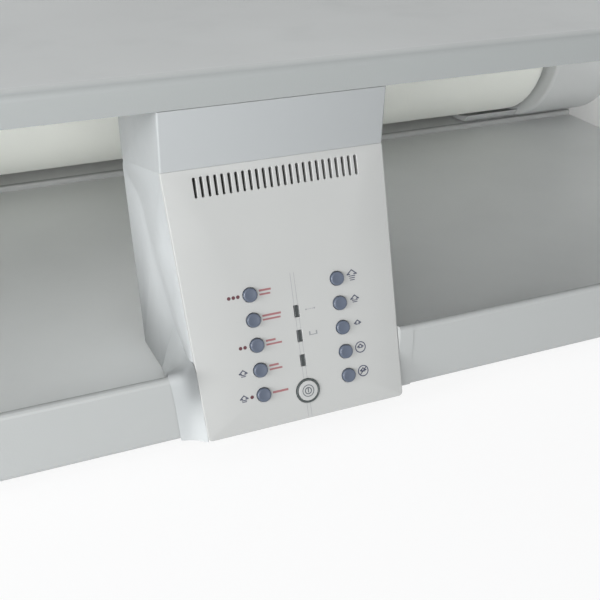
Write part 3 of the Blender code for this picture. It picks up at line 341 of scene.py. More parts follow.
edge_points = [(hood_half_width + (foot_half_width - hood_half_width) * share,
                rebate_y - panel_reach * share, (panel_rise + rebate_z) * (1 - share))
               for share in edge_shares]
flank = {
    "crease": edge_points[0],
    "high edge": edge_points[1],
    "middle edge": edge_points[2],
    "low edge": edge_points[3],
    "panel foot": (foot_half_width, rebate_y - panel_reach, foot_lift),
    "bend 0": (0.0630, -0.0470, 0.0030),
    "bend 1": (0.0641, -0.0418, 0.0206),
    "bend 2": (0.0646, -0.0300, 0.0387),
    "bend 3": (0.0586, 0.0262, 0.0358),
    "bend 4": (0.0597, 0.0660, 0.0685),
    "bend 5": (0.0622, 0.0765, 0.1005),
    "shoulder": (0.0670, 0.1030, 0.1175),
    "hood rear": (0.0670, 0.1030, hood_top),
    "hood front": (hood_half_width, -hood_lean, hood_top),
    "hood foot": (hood_half_width, 0.0, panel_rise + seam),
    "foot front": (0.0640, -0.0300, foot_lift),
    "foot middle": (0.0682, -0.0050, foot_lift),
    "foot waist": (0.0674, 0.0320, foot_lift),
    "foot rear": (0.0697, 0.0693, foot_lift),
}
flank_faces = (("hood foot", "hood front", "hood rear", "shoulder"),
               ("crease", "hood foot", "shoulder", "bend 5"),
               ("crease", "bend 5", "bend 4", "high edge"),
               ("high edge", "bend 4", "bend 3", "middle edge"),
               ("middle edge", "bend 3", "bend 2", "low edge"),
               ("low edge", "bend 2", "bend 1"),
               ("low edge", "bend 1", "bend 0", "panel foot"),
               ("panel foot", "bend 0", "foot front"),
               ("foot front", "bend 0", "bend 1"),
               ("foot front", "bend 1", "bend 2", "foot middle"),
               ("foot middle", "bend 2", "bend 3", "foot waist"),
               ("foot waist", "bend 3", "bend 4", "foot rear"),
               ("foot rear", "bend 4", "bend 5", "shoulder"))
bend_names = ("bend 2", "bend 3", "bend 4", "bend 5", "shoulder")
bend_width = 0.0040
hood_edge_width = 0.0012
hood_front_limit = 0.0005
rear_edge_limit = 0.1025
upright_limit = 0.001

bm = bmesh.new()
sides = []
for side in (-1.0, 1.0):
    sides.append({name: bm.verts.new((side * x, y, z)) for name, (x, y, z) in flank.items()})
for corner in sides:
    for names in flank_faces:
        bm.faces.new([corner[name] for name in names])
left, right = sides
for names in (("hood front", "hood rear"), ("hood rear", "shoulder"), ("shoulder", "foot rear"),
              ("hood front", "hood foot"), ("hood foot", "crease")):
    bm.faces.new([left[names[0]], left[names[1]], right[names[1]], right[names[0]]])
bmesh.ops.recalc_face_normals(bm, faces=bm.faces)
soft = [bm.edges.get([corner[a], corner[b]]) for corner in sides
        for a, b in zip(bend_names, bend_names[1:])]
rounded(bm, soft, bend_width, 4)
hood_edges = []
for edge in bm.edges:
    ends = [vert.co for vert in edge.verts]
    if abs(ends[0].x - ends[1].x) >= upright_limit:
        continue
    if all(end.z > panel_rise and end.y < hood_front_limit for end in ends):
        if not edge.is_boundary:
            hood_edges.append(edge)
    elif all(end.y > rear_edge_limit for end in ends):
        hood_edges.append(edge)
rounded(bm, hood_edges, hood_edge_width, 4)
bmesh.ops.transform(bm, matrix=column_place, verts=bm.verts)
column_shell = made("column_moulding", bm, "root", "moulded_white", column_plastic)
wall = column_shell.modifiers.new("wall", "SOLIDIFY")
wall.thickness = column_wall
wall.offset = -1.0
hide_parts("column_shell")

# Left wing of the column: the flank sweeps forward and outward over the cut end of the tray's lip
# as a thin moulded skin, from its crease over the bead and down the lip's face. Welded on.

wing_skin = 0.0004
# Painted shade: the wing is a darker copy of the column's moulding, matched to the flank's painted
# shade where the two meet.
wing_painted_shade_white = (0.350, 0.366, 0.371)
wing_plastic = coated("wing_moulding", wing_painted_shade_white, grain=2600.0, bump=0.10, roughness=0.50)
wing_root = ((0.0621, -0.0508, -0.0006), (0.0623, -0.0483, 0.0070), (0.0627, -0.0435, 0.0206),
             (0.0631, -0.0397, 0.0312), (0.0634, -0.0370, 0.0385), (0.0640, -0.0335, 0.0430),
             (0.0641, -0.0250, 0.0408), (0.0627, -0.0100, 0.0382), (0.0607, 0.0080, 0.0371),
             (0.0588, 0.0258, 0.0361))
wing_middle = ((0.0692, -0.0452, -0.0010), (0.0696, -0.0442, 0.0082), (0.0701, -0.0433, 0.0215),
               (0.0702, -0.0430, 0.0330), (0.0702, -0.0416, 0.0399), (0.0702, -0.0385, 0.0418),
               (0.0700, -0.0330, 0.0412), (0.0685, -0.0150, 0.0325), (0.0664, 0.0060, 0.0245),
               (0.0636, 0.0291, 0.0182))
wing_edge = ((0.0761, -0.0428, -0.0012), (0.0767, -0.0428, 0.0080), (0.0777, -0.0428, 0.0220),
             (0.0790, -0.0428, 0.0340), (0.0797, -0.0415, 0.0400), (0.0797, -0.0387, 0.0417),
             (0.0790, -0.0345, 0.0402), (0.0758, -0.0160, 0.0278), (0.0720, 0.0080, 0.0125),
             (0.0680, 0.0320, 0.0006))
wing_cuts = 2
wing_smoothing_share = 0.6


def face_forward(bm):
    """Turn an open skin so that its faces point at the operator."""
    bmesh.ops.recalc_face_normals(bm, faces=bm.faces)
    if sum((face.normal for face in bm.faces), Vector()).y > 0:
        bmesh.ops.reverse_faces(bm, faces=bm.faces)


bm = bmesh.new()
rails = [[bm.verts.new((-x, y, z)) for x, y, z in rail]
         for rail in (wing_root, wing_middle, wing_edge)]
for first, second in zip(rails, rails[1:]):
    for index in range(len(first) - 1):
        bm.faces.new((first[index], first[index + 1], second[index + 1], second[index]))
face_forward(bm)
bmesh.ops.subdivide_edges(bm, edges=bm.edges, cuts=wing_cuts, use_grid_fill=True,
                          smooth=wing_smoothing_share)
bmesh.ops.solidify(bm, geom=bm.faces, thickness=wing_skin)
bmesh.ops.transform(bm, matrix=column_place, verts=bm.verts)
made("left_column_wing", bm, "root", "moulded_white", wing_plastic, smooth=math.radians(60))

# Right closing piece: on this side a short length of lip, in the tray's white paint, carries the
# lip's face and bead on from its cut end to the panel's edge. It clips over the lip's end.

closing_skin = 0.0003
closing_outer_x = 0.0722
closing_profile = ((-0.0421, -0.0004), (-0.0421, 0.0120), (-0.0421, 0.0250), (-0.0421, 0.0382),
                   (-0.0417, 0.0397), (-0.0406, 0.0409), (-0.0390, 0.0413), (-0.0374, 0.0409),
                   (-0.0363, 0.0397), (-0.0359, 0.0382), (-0.0359, 0.0340))
closing_near_panel = 0.0002
closing_depth = 0.0060

bm = bmesh.new()
inner = []
outer = []
for y, z in closing_profile:
    edge_x = foot_half_width + (hood_half_width - foot_half_width) * z / panel_rise
    inner.append(bm.verts.new((edge_x + closing_near_panel, y, z)))
    outer.append(bm.verts.new((closing_outer_x, y, z)))
for index in range(len(closing_profile) - 1):
    bm.faces.new((inner[index], inner[index + 1], outer[index + 1], outer[index]))
low = bm.verts.new(inner[0].co + Vector((0.0, closing_depth, 0.0)))
bm.faces.new([low, *inner])
face_forward(bm)
bmesh.ops.solidify(bm, geom=bm.faces, thickness=closing_skin)
bmesh.ops.transform(bm, matrix=column_place, verts=bm.verts)
made("right_lip_closing", bm, "root", "painted_white", tray_paint, smooth=math.radians(40))


# Control panel: a white moulded plate with softly rounded sides, pierced for cooling slots,
# buttons and indicator windows, and snapped into the front of the column.

panel_edge_width = 0.0005
panel_corner_width = 0.0024
slot_count = 25
slot_half_span = 0.0484
slot_top = 0.0045
slot_length = 0.0115
slot_half_width = 0.00092
button_radius = 0.0041
button_gap = 0.00022
button_pitch = 0.01477
first_button_drop = 0.0741
button_columns = (("fabric", -0.0260), ("mode", 0.0279))
power_place = (0.0012, -0.1368)
power_ring_radius = 0.0072
window_x = 0.0006
window_size = (0.0032, 0.0070)
window_drops = (0.0887, 0.10347, 0.11824)
rim_chamfer = 0.00025
panel_side_gap = 0.00001
slot_end_steps = 12
button_steps = 40
power_steps = 56
flat_limit = 0.999
plain_corners = 8


def laid(bm, points, at, axis):
    """Vertices in a plane across an axis, their points given in the two other axes."""
    verts = []
    for across, up in points:
        corner = [across, up]
        corner.insert(axis, at)
        verts.append(bm.verts.new(corner))
    return verts


def plate(points, depth, axis, at=0.0):
    """A flat outline in a plane across an axis, given a thickness along that axis."""
    bm = bmesh.new()
    face = bm.faces.new(laid(bm, points, at, axis))
    grown = bmesh.ops.extrude_face_region(bm, geom=[face])
    move = [0.0, 0.0, 0.0]
    move[axis] = depth
    verts = [item for item in grown["geom"] if isinstance(item, bmesh.types.BMVert)]
    bmesh.ops.translate(bm, vec=move, verts=verts)
    bmesh.ops.recalc_face_normals(bm, faces=bm.faces)
    return bm


def ring_points(x, y, radius, steps, stretch=0.0):
    """Points round a circle, or round a slot whose length is longer by the stretch."""
    points = []
    for step in range(steps):
        angle = math.tau * step / steps
        shift = math.copysign(stretch / 2, math.sin(angle)) if stretch else 0.0
        points.append((x + radius * math.cos(angle), y + radius * math.sin(angle) + shift))
    return points


def loop_of(bm, points, at, axis=2):
    """A closed loop of edges in a plane across an axis."""
    verts = laid(bm, points, at, axis)
    return [bm.edges.new((verts[i - 1], verts[i])) for i in range(len(verts))]


def opening(x, y, half_width, half_height, grow):
    """A slot or round hole of the panel, drawn larger by grow."""
    radius = half_width + grow
    return ring_points(x, y, radius, slot_end_steps, 2 * (half_height - half_width))


def rectangle(low, high):
    """The four corners of a rectangle between two opposite ones."""
    return [(low[0], low[1]), (high[0], low[1]), (high[0], high[1]), (low[0], high[1])]


def window_outline(drop, grow):
    """One indicator window, drawn larger by grow."""
    across = window_size[0] / 2 + grow
    up = window_size[1] / 2 + grow
    return rectangle((window_x - across, -drop - up), (window_x + across, -drop + up))


holes = []
for grow in (rim_chamfer, 0.0):
    row = []
    for step in range(slot_count):
        x = slot_half_span * (2 * step / (slot_count - 1) - 1)
        row.append(opening(x, -slot_top - slot_length / 2, slot_half_width, slot_length / 2, grow))
    for word, x in button_columns:
        for step in range(5):
            drop = first_button_drop + step * button_pitch
            row.append(ring_points(x, -drop, button_radius + button_gap + grow, button_steps))
    row.append(ring_points(*power_place, power_ring_radius + button_gap + grow, power_steps))
    for drop in window_drops:
        row.append(window_outline(drop, grow))
    holes.append(row)

top_half = hood_half_width - panel_side_gap
outline = [(-top_half, -seam), (-foot_half_width, -panel_length), (foot_half_width, -panel_length),
           (top_half, -seam)]
bm = plate(outline, -panel_thickness, 2)
corner_edges = [edge for edge in bm.edges
                if all(vert.co.y < -panel_length / 2 for vert in edge.verts)
                and abs(edge.verts[0].co.z - edge.verts[1].co.z) > panel_thickness / 2]
rounded(bm, corner_edges, panel_corner_width, 5)
front_edges = [edge for edge in bm.edges
               if all(abs(vert.co.z) < merge_distance for vert in edge.verts)
               and min(vert.co.y for vert in edge.verts) < -2 * seam]
rounded(bm, front_edges, panel_edge_width, 5)
flats = [face for face in bm.faces
         if abs(face.normal.z) > flat_limit and len(face.verts) > plain_corners]
rims = [list(face.edges) for face in sorted(flats, key=lambda face: -face.calc_center_median().z)]
bmesh.ops.delete(bm, geom=flats, context="FACES_ONLY")
front_loops = [loop_of(bm, points, 0.0) for points in holes[0]]
throat_loops = [loop_of(bm, points, -rim_chamfer) for points in holes[1]]
back_loops = [loop_of(bm, points, -panel_thickness) for points in holes[1]]
for rim, loops, facing in ((rims[0], front_loops, 1.0), (rims[1], back_loops, -1.0)):
    edges = rim + [edge for loop in loops for edge in loop]
    bmesh.ops.triangle_fill(bm, use_beauty=True, edges=edges, normal=(0.0, 0.0, facing))
for first, second in ((front_loops, throat_loops), (throat_loops, back_loops)):
    for one, other in zip(first, second):
        bmesh.ops.bridge_loops(bm, edges=one + other)
bmesh.ops.transform(bm, matrix=panel_place, verts=bm.verts)
panel_white = (0.354, 0.360, 0.354)
panel_plastic = coated("panel_moulding", panel_white, grain=3200.0, bump=0.08, roughness=0.52)
fascia = made("control_panel", bm, "root", "painted_white", panel_plastic)
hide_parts("column_fascia")

# Painted shade: a black felt-textured card behind the cooling slots, standing in for the shade
# inside the column so that the slots look dark.

shade_card_size = (0.104, 0.018, 0.0008)
shade_card_gap = 0.0035
shade_card_drop = 0.001
shade_card_middle = (0.0, -slot_top - slot_length / 2 - shade_card_drop, -panel_thickness - shade_card_gap)
bm = bmesh.new()
bmesh.ops.create_cube(bm, size=1.0)
bmesh.ops.scale(bm, vec=shade_card_size, verts=bm.verts)
rounded(bm, list(bm.edges), shade_card_size[2] / 3, 2)
bmesh.ops.transform(bm, matrix=panel_place @ Matrix.Translation(shade_card_middle), verts=bm.verts)
slot_shade_card = coated("slot_shade_card", (0.035, 0.036, 0.034), grain=1800.0, bump=0.4, roughness=0.9)
made("slot_painted_shade_card", bm, "root", "dark_plastic", slot_shade_card)


# Buttons: ten small blue-grey moulded buttons with a shallow dished top, each sprung in its own
# hole, and a white power button inside a dark ring.

button_proud = 0.0019
button_dish = 0.00022
button_edge = 0.0006
button_depth = 0.0040
button_colour = (0.068, 0.084, 0.118)


def lathed(profile, steps, matrix=Matrix()):
    """Turn a profile of (radius, height) round the Z axis, then carry it to its place."""
    bm = bmesh.new()
    rail = [bm.verts.new((radius, 0.0, height)) for radius, height in profile]
    edges = [bm.edges.new(pair) for pair in zip(rail, rail[1:])]
    bmesh.ops.spin(bm, geom=rail + edges, cent=(0, 0, 0), axis=(0, 0, 1), angle=math.tau,
                   steps=steps, use_merge=True)
    bmesh.ops.remove_doubles(bm, verts=bm.verts, dist=merge_distance)
    bmesh.ops.transform(bm, matrix=matrix, verts=bm.verts)
    bmesh.ops.recalc_face_normals(bm, faces=bm.faces)
    return bm


def button_profile(radius, proud, dish, edge, depth, turns=5):
    """Half section of a button from the middle of its dished top down its side."""
    flat = radius - edge
    profile = [(0.0, proud - dish)]
    for share in (0.25, 0.5, 0.75, 1.0):
        profile.append((flat * share, proud - dish * (1 - share * share)))
    for step in range(1, turns + 1):
        angle = quarter * (1 - step / turns)
        profile.append((flat + edge * math.cos(angle), proud - edge + edge * math.sin(angle)))
    profile.append((radius, -depth))
    profile.append((0.0, -depth))
    return profile


button_gloss = coated("button_moulding", button_colour, grain=2400.0, bump=0.05, roughness=0.30,
                      shift=0.10)
for word, x in button_columns:
    for step in range(5):
        drop = first_button_drop + step * button_pitch
        place = panel_place @ Matrix.Translation((x, -drop, 0.0))
        bm = lathed(button_profile(button_radius, button_proud, button_dish, button_edge,
                                   button_depth), button_steps, place)
        button = made(f"{word}_push_button_{step + 1}", bm, f"{word}_key_{step + 1}",
                      "button_plastic", button_gloss)
        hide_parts(f"{word}_button_{step + 1}")

power_radius = 0.0063
power_proud = 0.0005
power_edge = 0.0003
power_white = (0.360, 0.366, 0.363)
ring_proud = 0.0007
ring_corner = ((0.0, 0.0002), (0.0001, 0.00005), (0.0003, 0.0))

place = panel_place @ Matrix.Translation((*power_place, 0.0))
power_plastic = coated("power_button_moulding", power_white, grain=2600.0, bump=0.06,
                       roughness=0.30)
bm = lathed(button_profile(power_radius - button_gap, power_proud, 0.0, power_edge, button_depth),
            power_steps, place)
power_button = made("power_push_button", bm, "power_key", "moulded_white", power_plastic)
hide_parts("power_button")

ring_dark = coated("ring_moulding", (0.045, 0.055, 0.055), grain=2400.0, bump=0.08, roughness=0.35)
ring_section = [(power_radius, -panel_thickness)]
ring_section += [(power_radius + inward, ring_proud - fall) for inward, fall in ring_corner]
ring_section += [(power_ring_radius - inward, ring_proud - fall)
                 for inward, fall in reversed(ring_corner)]
ring_section += [(power_ring_radius, -panel_thickness), (power_radius, -panel_thickness)]
bm = lathed(ring_section, power_steps, place)
ring = made("power_button_ring", bm, "root", "dark_plastic", ring_dark)
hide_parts("power_ring")


# Printed marks: plain dots, bars and simple outlines in red, slate blue and grey, screen printed in
# one thin coat on the panel beside the buttons, and a symbol on the power button.

print_height = 0.00005
print_thickness = 0.00006


def gather(*parts):
    """Several bmeshes as one."""
    whole = bmesh.new()
    for part in parts:
        mesh = bpy.data.meshes.new("part")
        part.to_mesh(mesh)
        part.free()
        whole.from_mesh(mesh)
        bpy.data.meshes.remove(mesh)
    return whole


def printed(shapes):
    """Flat printed shapes on the panel, each a closed outline or a pair of outlines."""
    bm = bmesh.new()
    for outer, *inner in shapes:
        part = bmesh.new()
        loops = [loop_of(part, points, print_height) for points in (outer, *inner)]
        edges = [edge for loop in loops for edge in loop]
        bmesh.ops.triangle_fill(part, use_beauty=True, edges=edges, normal=(0.0, 0.0, 1.0))
        skin = bmesh.ops.extrude_face_region(part, geom=list(part.faces))
        verts = [item for item in skin["geom"] if isinstance(item, bmesh.types.BMVert)]
        bmesh.ops.translate(part, vec=(0.0, 0.0, -print_thickness), verts=verts)
        bm = gather(bm, part)
    bmesh.ops.transform(bm, matrix=panel_place, verts=bm.verts)
    return bm


def dot(x, y, radius, steps=16):
    """One printed spot."""
    return [ring_points(x, y, radius, steps)]


def hoop(x, y, radius, line, steps=28):
    """A printed circle line."""
    return [ring_points(x, y, radius, steps), ring_points(x, y, radius - line, steps)]


def bar(x, y, length, height):
    """A printed bar that starts at x."""
    return [rectangle((x, y - height / 2), (x + length, y + height / 2))]


def stroke(start, end, line):
    """A printed straight line of one thickness."""
    along = Vector((end[0] - start[0], end[1] - start[1])).normalized() * (line / 2)
    across = Vector((-along.y, along.x))
    corners = [Vector(start) - along - across, Vector(end) + along - across,
               Vector(end) + along + across, Vector(start) - along + across]
    return [[tuple(corner) for corner in corners]]


shoulder_share = 0.15
notch_share = 0.45
wave_shares = (0.2, 0.4, 0.62, 0.10)
wave_line_share = 0.8


def steam_mark(x, y, size, waves, line):
    """A small arrow head over short waves, for a steam level."""
    half = size / 2
    shoulder = y + half * shoulder_share
    notch = half * notch_share
    peak = (x, y + half)
    left_end = (x - half, shoulder)
    right_end = (x + half, shoulder)
    shapes = [stroke(left_end, peak, line), stroke(peak, right_end, line),
              stroke(left_end, (x - notch, shoulder), line),
              stroke(right_end, (x + notch, shoulder), line)]
    for wave in range(waves):
        level = y - half * (wave_shares[0] + wave_shares[1] * wave)
        reach = half * (wave_shares[2] - wave_shares[3] * wave)
        shapes.append(stroke((x - reach, level), (x + reach, level), line * wave_line_share))
    return shapes


def row_y(row):
    """Where a button row lies on the panel, rows counted from 1."""
    return -(first_button_drop + (row - 1) * button_pitch)


fine_line = 0.00062
fabric_x, mode_x = (x for word, x in button_columns)
dot_radius = 0.00108
dot_pitch = 0.0027
dot_inset = 0.0072
dot_rows = ((1, 3), (3, 2), (5, 1))
label_inset = 0.0056
label_rows = ((1, 0.0072, 0.0066), (2, 0.0113, 0.0108), (3, 0.0060, 0.0096), (4, 0.0058, 0.0078),
              (5, 0.0096, 0.0))
upper_line = (0.0014, 0.00120)
lower_line = (-0.0009, 0.00105)
single_line = (0.0, 0.00130)
fabric_steam_rows = ((4, 0.0105), (5, 0.0120))
fabric_steam_size = 0.0046
steam_shift = 0.0004
mode_inset = 0.0098
mode_steam_rows = ((1, 0.0060, 3), (2, 0.0050, 2), (3, 0.0040, 1))
mode_hoop_rows = ((4, False), (5, True))
mode_hoop_rise = 0.0006
mode_hoop_radius = 0.0035
mode_hoop_steam = 0.0036
slash_reach = 0.0021

dot_marks = []
for row, count in dot_rows:
    for step in range(count):
        dot_marks.append(dot(fabric_x - dot_inset - step * dot_pitch, row_y(row), dot_radius))

red_marks = []
for row, upper, lower in label_rows:
    start = fabric_x + label_inset
    lines = ((upper, upper_line), (lower, lower_line)) if lower else ((upper, single_line),)
    for length, (rise, height) in lines:
        red_marks.append(bar(start, row_y(row) + rise, length, height))

slate_marks = []
for row, inset in fabric_steam_rows:
    slate_marks += steam_mark(fabric_x - inset, row_y(row) - steam_shift, fabric_steam_size, 2,
                              fine_line)
for row, size, waves in mode_steam_rows:
    slate_marks += steam_mark(mode_x + mode_inset, row_y(row) + steam_shift, size, waves, fine_line)
for row, crossed in mode_hoop_rows:
    x, y = mode_x + mode_inset, row_y(row) + mode_hoop_rise
    slate_marks.append(hoop(x, y, mode_hoop_radius, fine_line))
    slate_marks += steam_mark(x, y, mode_hoop_steam, 1, fine_line)
    if crossed:
        slate_marks.append(stroke((x - slash_reach, y - slash_reach),
                                  (x + slash_reach, y + slash_reach), fine_line))

guide_reaches = (-0.00118, 0.00104)
guide_top = -0.0660
guide_foot = -0.1522
guide_gap = 0.0004
guide_line = 0.00017
window_mark_inset = 0.0058
pip_pitch = 0.0013
pip_radius = 0.0003
end_pip_radius = 0.0005
pip_steps = 10
cradle_length = 0.0052
cradle_line = 0.0005
cradle_horn = (0.0009, 0.0018)
cradle_shift = 0.0006

grey_marks = []
ring_reach = power_ring_radius + guide_gap
for reach in guide_reaches:
    x = window_x + reach
    for top, low in ((guide_top, power_place[1] + ring_reach),
                     (power_place[1] - ring_reach, guide_foot)):
        grey_marks.append(stroke((x, top), (x, low), guide_line))
mark_x = window_x + window_mark_inset
for step in range(5):
    radius = pip_radius if step % 4 else end_pip_radius
    grey_marks.append(dot(mark_x + step * pip_pitch, -window_drops[0], radius, pip_steps))
cradle_y = -window_drops[1]
grey_marks.append(bar(mark_x, cradle_y - cradle_shift, cradle_length, cradle_line))
for x in (mark_x, mark_x + cradle_length - cradle_horn[0]):
    grey_marks.append(bar(x, cradle_y + cradle_shift, *cradle_horn))

inks = (("red_print", (0.250, 0.100, 0.108), red_marks),
        ("dot_print", (0.070, 0.012, 0.020), dot_marks),
        ("slate_print", (0.035, 0.040, 0.072), slate_marks),
        ("grey_print", (0.200, 0.210, 0.220), grey_marks))
for name, colour, shapes in inks:
    ink = coated(name, colour, grain=4000.0, bump=0.05, roughness=0.5, shift=0.15)
    made(name, printed(shapes), "root", "painted_white", ink)

symbol_ring = (0.0037, 0.0005, 36)
symbol_hoop_radius = 0.0022
symbol_bar_foot = -0.0008
symbol_bar_top = 0.0016

power_x, power_y = power_place
bm = printed([hoop(power_x, power_y, *symbol_ring),
              hoop(power_x, power_y, symbol_hoop_radius, fine_line),
              stroke((power_x, power_y + symbol_bar_foot), (power_x, power_y + symbol_bar_top),
                     fine_line)])
outward = panel_place.to_3x3() @ Vector((0.0, 0.0, 1.0))
bmesh.ops.translate(bm, vec=outward * power_proud, verts=bm.verts)
symbol_ink = coated("symbol_print", (0.07, 0.08, 0.09), grain=4000.0, bump=0.05, roughness=0.5)
made("power_symbol", bm, "power_key", "dark_plastic", symbol_ink)


# Indicator windows: a smoked strip behind the panel with three raised lenses that fill the windows.

lens_smoke = coated("smoked_lens", (0.030, 0.036, 0.036), grain=1500.0, bump=0.02, roughness=0.12)
dress(lens_smoke, "indicator_lens")


# Feed table: one folded steel sheet with a rounded front edge, rolled down towards the roller, and
# a folded stiffener under it. Powder coated; the lap at the front is spot welded.

table_half = 0.5097
table_sheet = 0.0025
table_front = -0.244962
table_back = 0.083638
table_base = 0.192516
table_top = 0.211016
table_front_radius = 0.006
table_rear_radius = 0.008
table_lap = 0.010
table_lap_half = 0.494
table_rear_drop = 0.0145
rib_half = 0.480
rib_sheet = 0.0012
rib_back = -0.020
rib_face = -0.080
rib_height = 0.013
rib_foot = 0.012
rib_gap = 0.0002
sharpest_fold = 0.3


def arc_points(centre, radius, start, end, steps):
    """Points on an arc, both ends counted."""
    return [(centre[0] + radius * math.cos(start + (end - start) * step / steps),
             centre[1] + radius * math.sin(start + (end - start) * step / steps))
            for step in range(steps + 1)]


def folded(path, thickness):
    """The outline of a sheet folded along a path; the sheet lies to the left of the path."""
    inner = []
    for index, point in enumerate(path):
        before = Vector(path[max(index - 1, 0)])
        after = Vector(path[min(index + 1, len(path) - 1)])
        here = Vector(point)
        back = (here - before).normalized() if index else (after - here).normalized()
        ahead = (after - here).normalized() if index < len(path) - 1 else back
        turn = (back + ahead).normalized()
        normal = Vector((-turn.y, turn.x))
        square = normal.dot(Vector((-back.y, back.x)))
        inner.append(tuple(here + normal * (thickness / max(square, sharpest_fold))))
    return list(path) + inner[::-1]


front, rear = table_front_radius, table_rear_radius
path = [(table_front, table_base)]
path += arc_points((table_front + front, table_top - front), front, math.pi, quarter, 10)
path += arc_points((table_back - rear, table_top - rear), rear, quarter, 0.0, 12)
path += [(table_back, table_top - table_rear_drop)]
shell = plate(folded(path, -table_sheet), 2 * table_half, 0, -table_half)
lap = rectangle((table_front + table_sheet, table_base),
                (table_front + table_lap, table_base + table_sheet))
bm = gather(shell, plate(lap, 2 * table_lap_half, 0, -table_lap_half))
# Painted shade: the sheet's rounded front nose is painted a darker grey than its top, fading out
# between the two Y values.
table_white = (0.560, 0.578, 0.574)
table_nose_painted_shade = (0.250, 0.264, 0.262)
table_painted_shade_y = (-0.2436, -0.2392)
table_paint = coated("table_powder_coat", table_white, grain=800.0, bump=0.14, roughness=0.46,
                     painted_shade=(table_nose_painted_shade, table_painted_shade_y))
table = made("table_sheet", bm, "root", "painted_white", table_paint)
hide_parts("feed_table")

rib_under = table_top - table_sheet - rib_gap
path = [(rib_face - rib_foot, rib_under), (rib_face, rib_under), (rib_face, rib_under - rib_height),
        (rib_back, rib_under - rib_height), (rib_back, rib_under), (rib_back + rib_foot, rib_under)]
made("table_stiffener", plate(folded(path, -rib_sheet), 2 * rib_half, 0, -rib_half), "root",
     "painted_white", table_paint)


# Roller: needled felt wound on the steel tube, under a fitted cotton cover that is pulled over the
# rounded ends by a drawn hem. The cover is plain weave, cream, and lies taut with faint draw lines.

roller_y = 0.157638
roller_z = 0.1085
roller_radius = 0.080
roller_half = 0.425
end_radius = 0.0095
hem_radius = 0.0735
hem_turn = ((0.012, 0.0006), (0.006, 0.0004))
hem_start = 0.004
cover_inset = 0.0002
cover_slack = 0.0003
pucker_depth = 0.00035
pucker_reach = 0.030
pucker_waves = 34
pucker_sway = 1.3
pucker_sway_waves = 3
fine_pucker_share = 0.5
fine_pucker_waves = 57
ripple_depth = 0.00012
ripple_rate = 23
ripple_sway = 2.0
straight_shares = (0.95, 0.9, 0.8, 0.7, 0.6, 0.5, 0.4, 0.3, 0.2, 0.1)
cover_steps = 192
roller_place = Matrix.Translation((0.0, roller_y, roller_z)) @ Matrix.Rotation(quarter, 4, "Y")


def end_curve(radius, half, edge, steps):
    """The rounded end of the roller as (radius, height) points, from the flat face outwards."""
    return [(radius - edge + edge * math.sin(angle), half - edge + edge * math.cos(angle))
            for angle in (quarter * step / steps for step in range(steps + 1))]


def mirrored(profile, *middle):
    """A half profile, the points in its middle, and its mirror image."""
    return [*profile, *middle, *((radius, -height) for radius, height in reversed(profile))]


def cloth_finish(name, warm, cool, threads, bump, roughness=0.88):
    """Plain weave on a UV map laid out in metres, with slubs and a faint drift of tone."""
    material = bpy.data.materials.new(name)
    nodes = emptied(material)
    place = nodes.add("ShaderNodeUVMap", {"uv_map": "cloth"})
    split = nodes.add("ShaderNodeSeparateXYZ", {}, {"Vector": place}, "X")
    split_y = nodes.add("ShaderNodeSeparateXYZ", {}, {"Vector": place}, "Y")
    warp = split * (math.tau * threads / 2)
    weft = split_y * (math.tau * threads / 2)
    across = nodes.add("ShaderNodeMath", {"operation": "SINE"}, {0: warp})
    along = nodes.add("ShaderNodeMath", {"operation": "SINE"}, {0: weft})
    weave = across * along * 0.5 + 0.5
    drawn = nodes.add("ShaderNodeMapping", {}, {"Vector": place, "Scale": (1.0, 14.0, 1.0)})
    slub = noise(nodes, drawn, 90.0, 3.0)
    drift = levels(nodes, noise(nodes, place, 9.0, 4.0), 0.3, 0.7)
    tone = blend(nodes, drift * 0.7 + slub * 0.3, warm, cool)
    tone = blend(nodes, weave * 0.10, tone, (*(channel * 0.7 for channel in warm[:3]), 1.0))
    principled(nodes, tone, roughness, height=weave * 0.7 + slub * 0.5, bump=bump, depth=0.0003,
               Sheen_Weight=0.25, Sheen_Roughness=0.4)
    return material


def roll_map(mesh, centre_y, centre_z, radius):
    """A UV map in metres: along the roller, and round it."""
    layer = mesh.uv_layers.new(name="cloth")
    for face in mesh.polygons:
        middle = face.center
        home = math.atan2(middle.z - centre_z, middle.y - centre_y)
        for index in face.loop_indices:
            point = mesh.vertices[mesh.loops[index].vertex_index].co
            angle = math.atan2(point.z - centre_z, point.y - centre_y)
            angle += math.tau * round((home - angle) / math.tau)
            sunk = radius - math.hypot(point.y - centre_y, point.z - centre_z)
            layer.data[index].uv = (point.x + math.copysign(sunk, point.x), angle * radius)


cover_warm = (0.925, 0.940, 0.880, 1.0)
cover_cool = (0.890, 0.910, 0.860, 1.0)
threads_per_metre = 1500.0
cotton = cloth_finish("cover_cotton", cover_warm, cover_cool, threads_per_metre, bump=0.35)

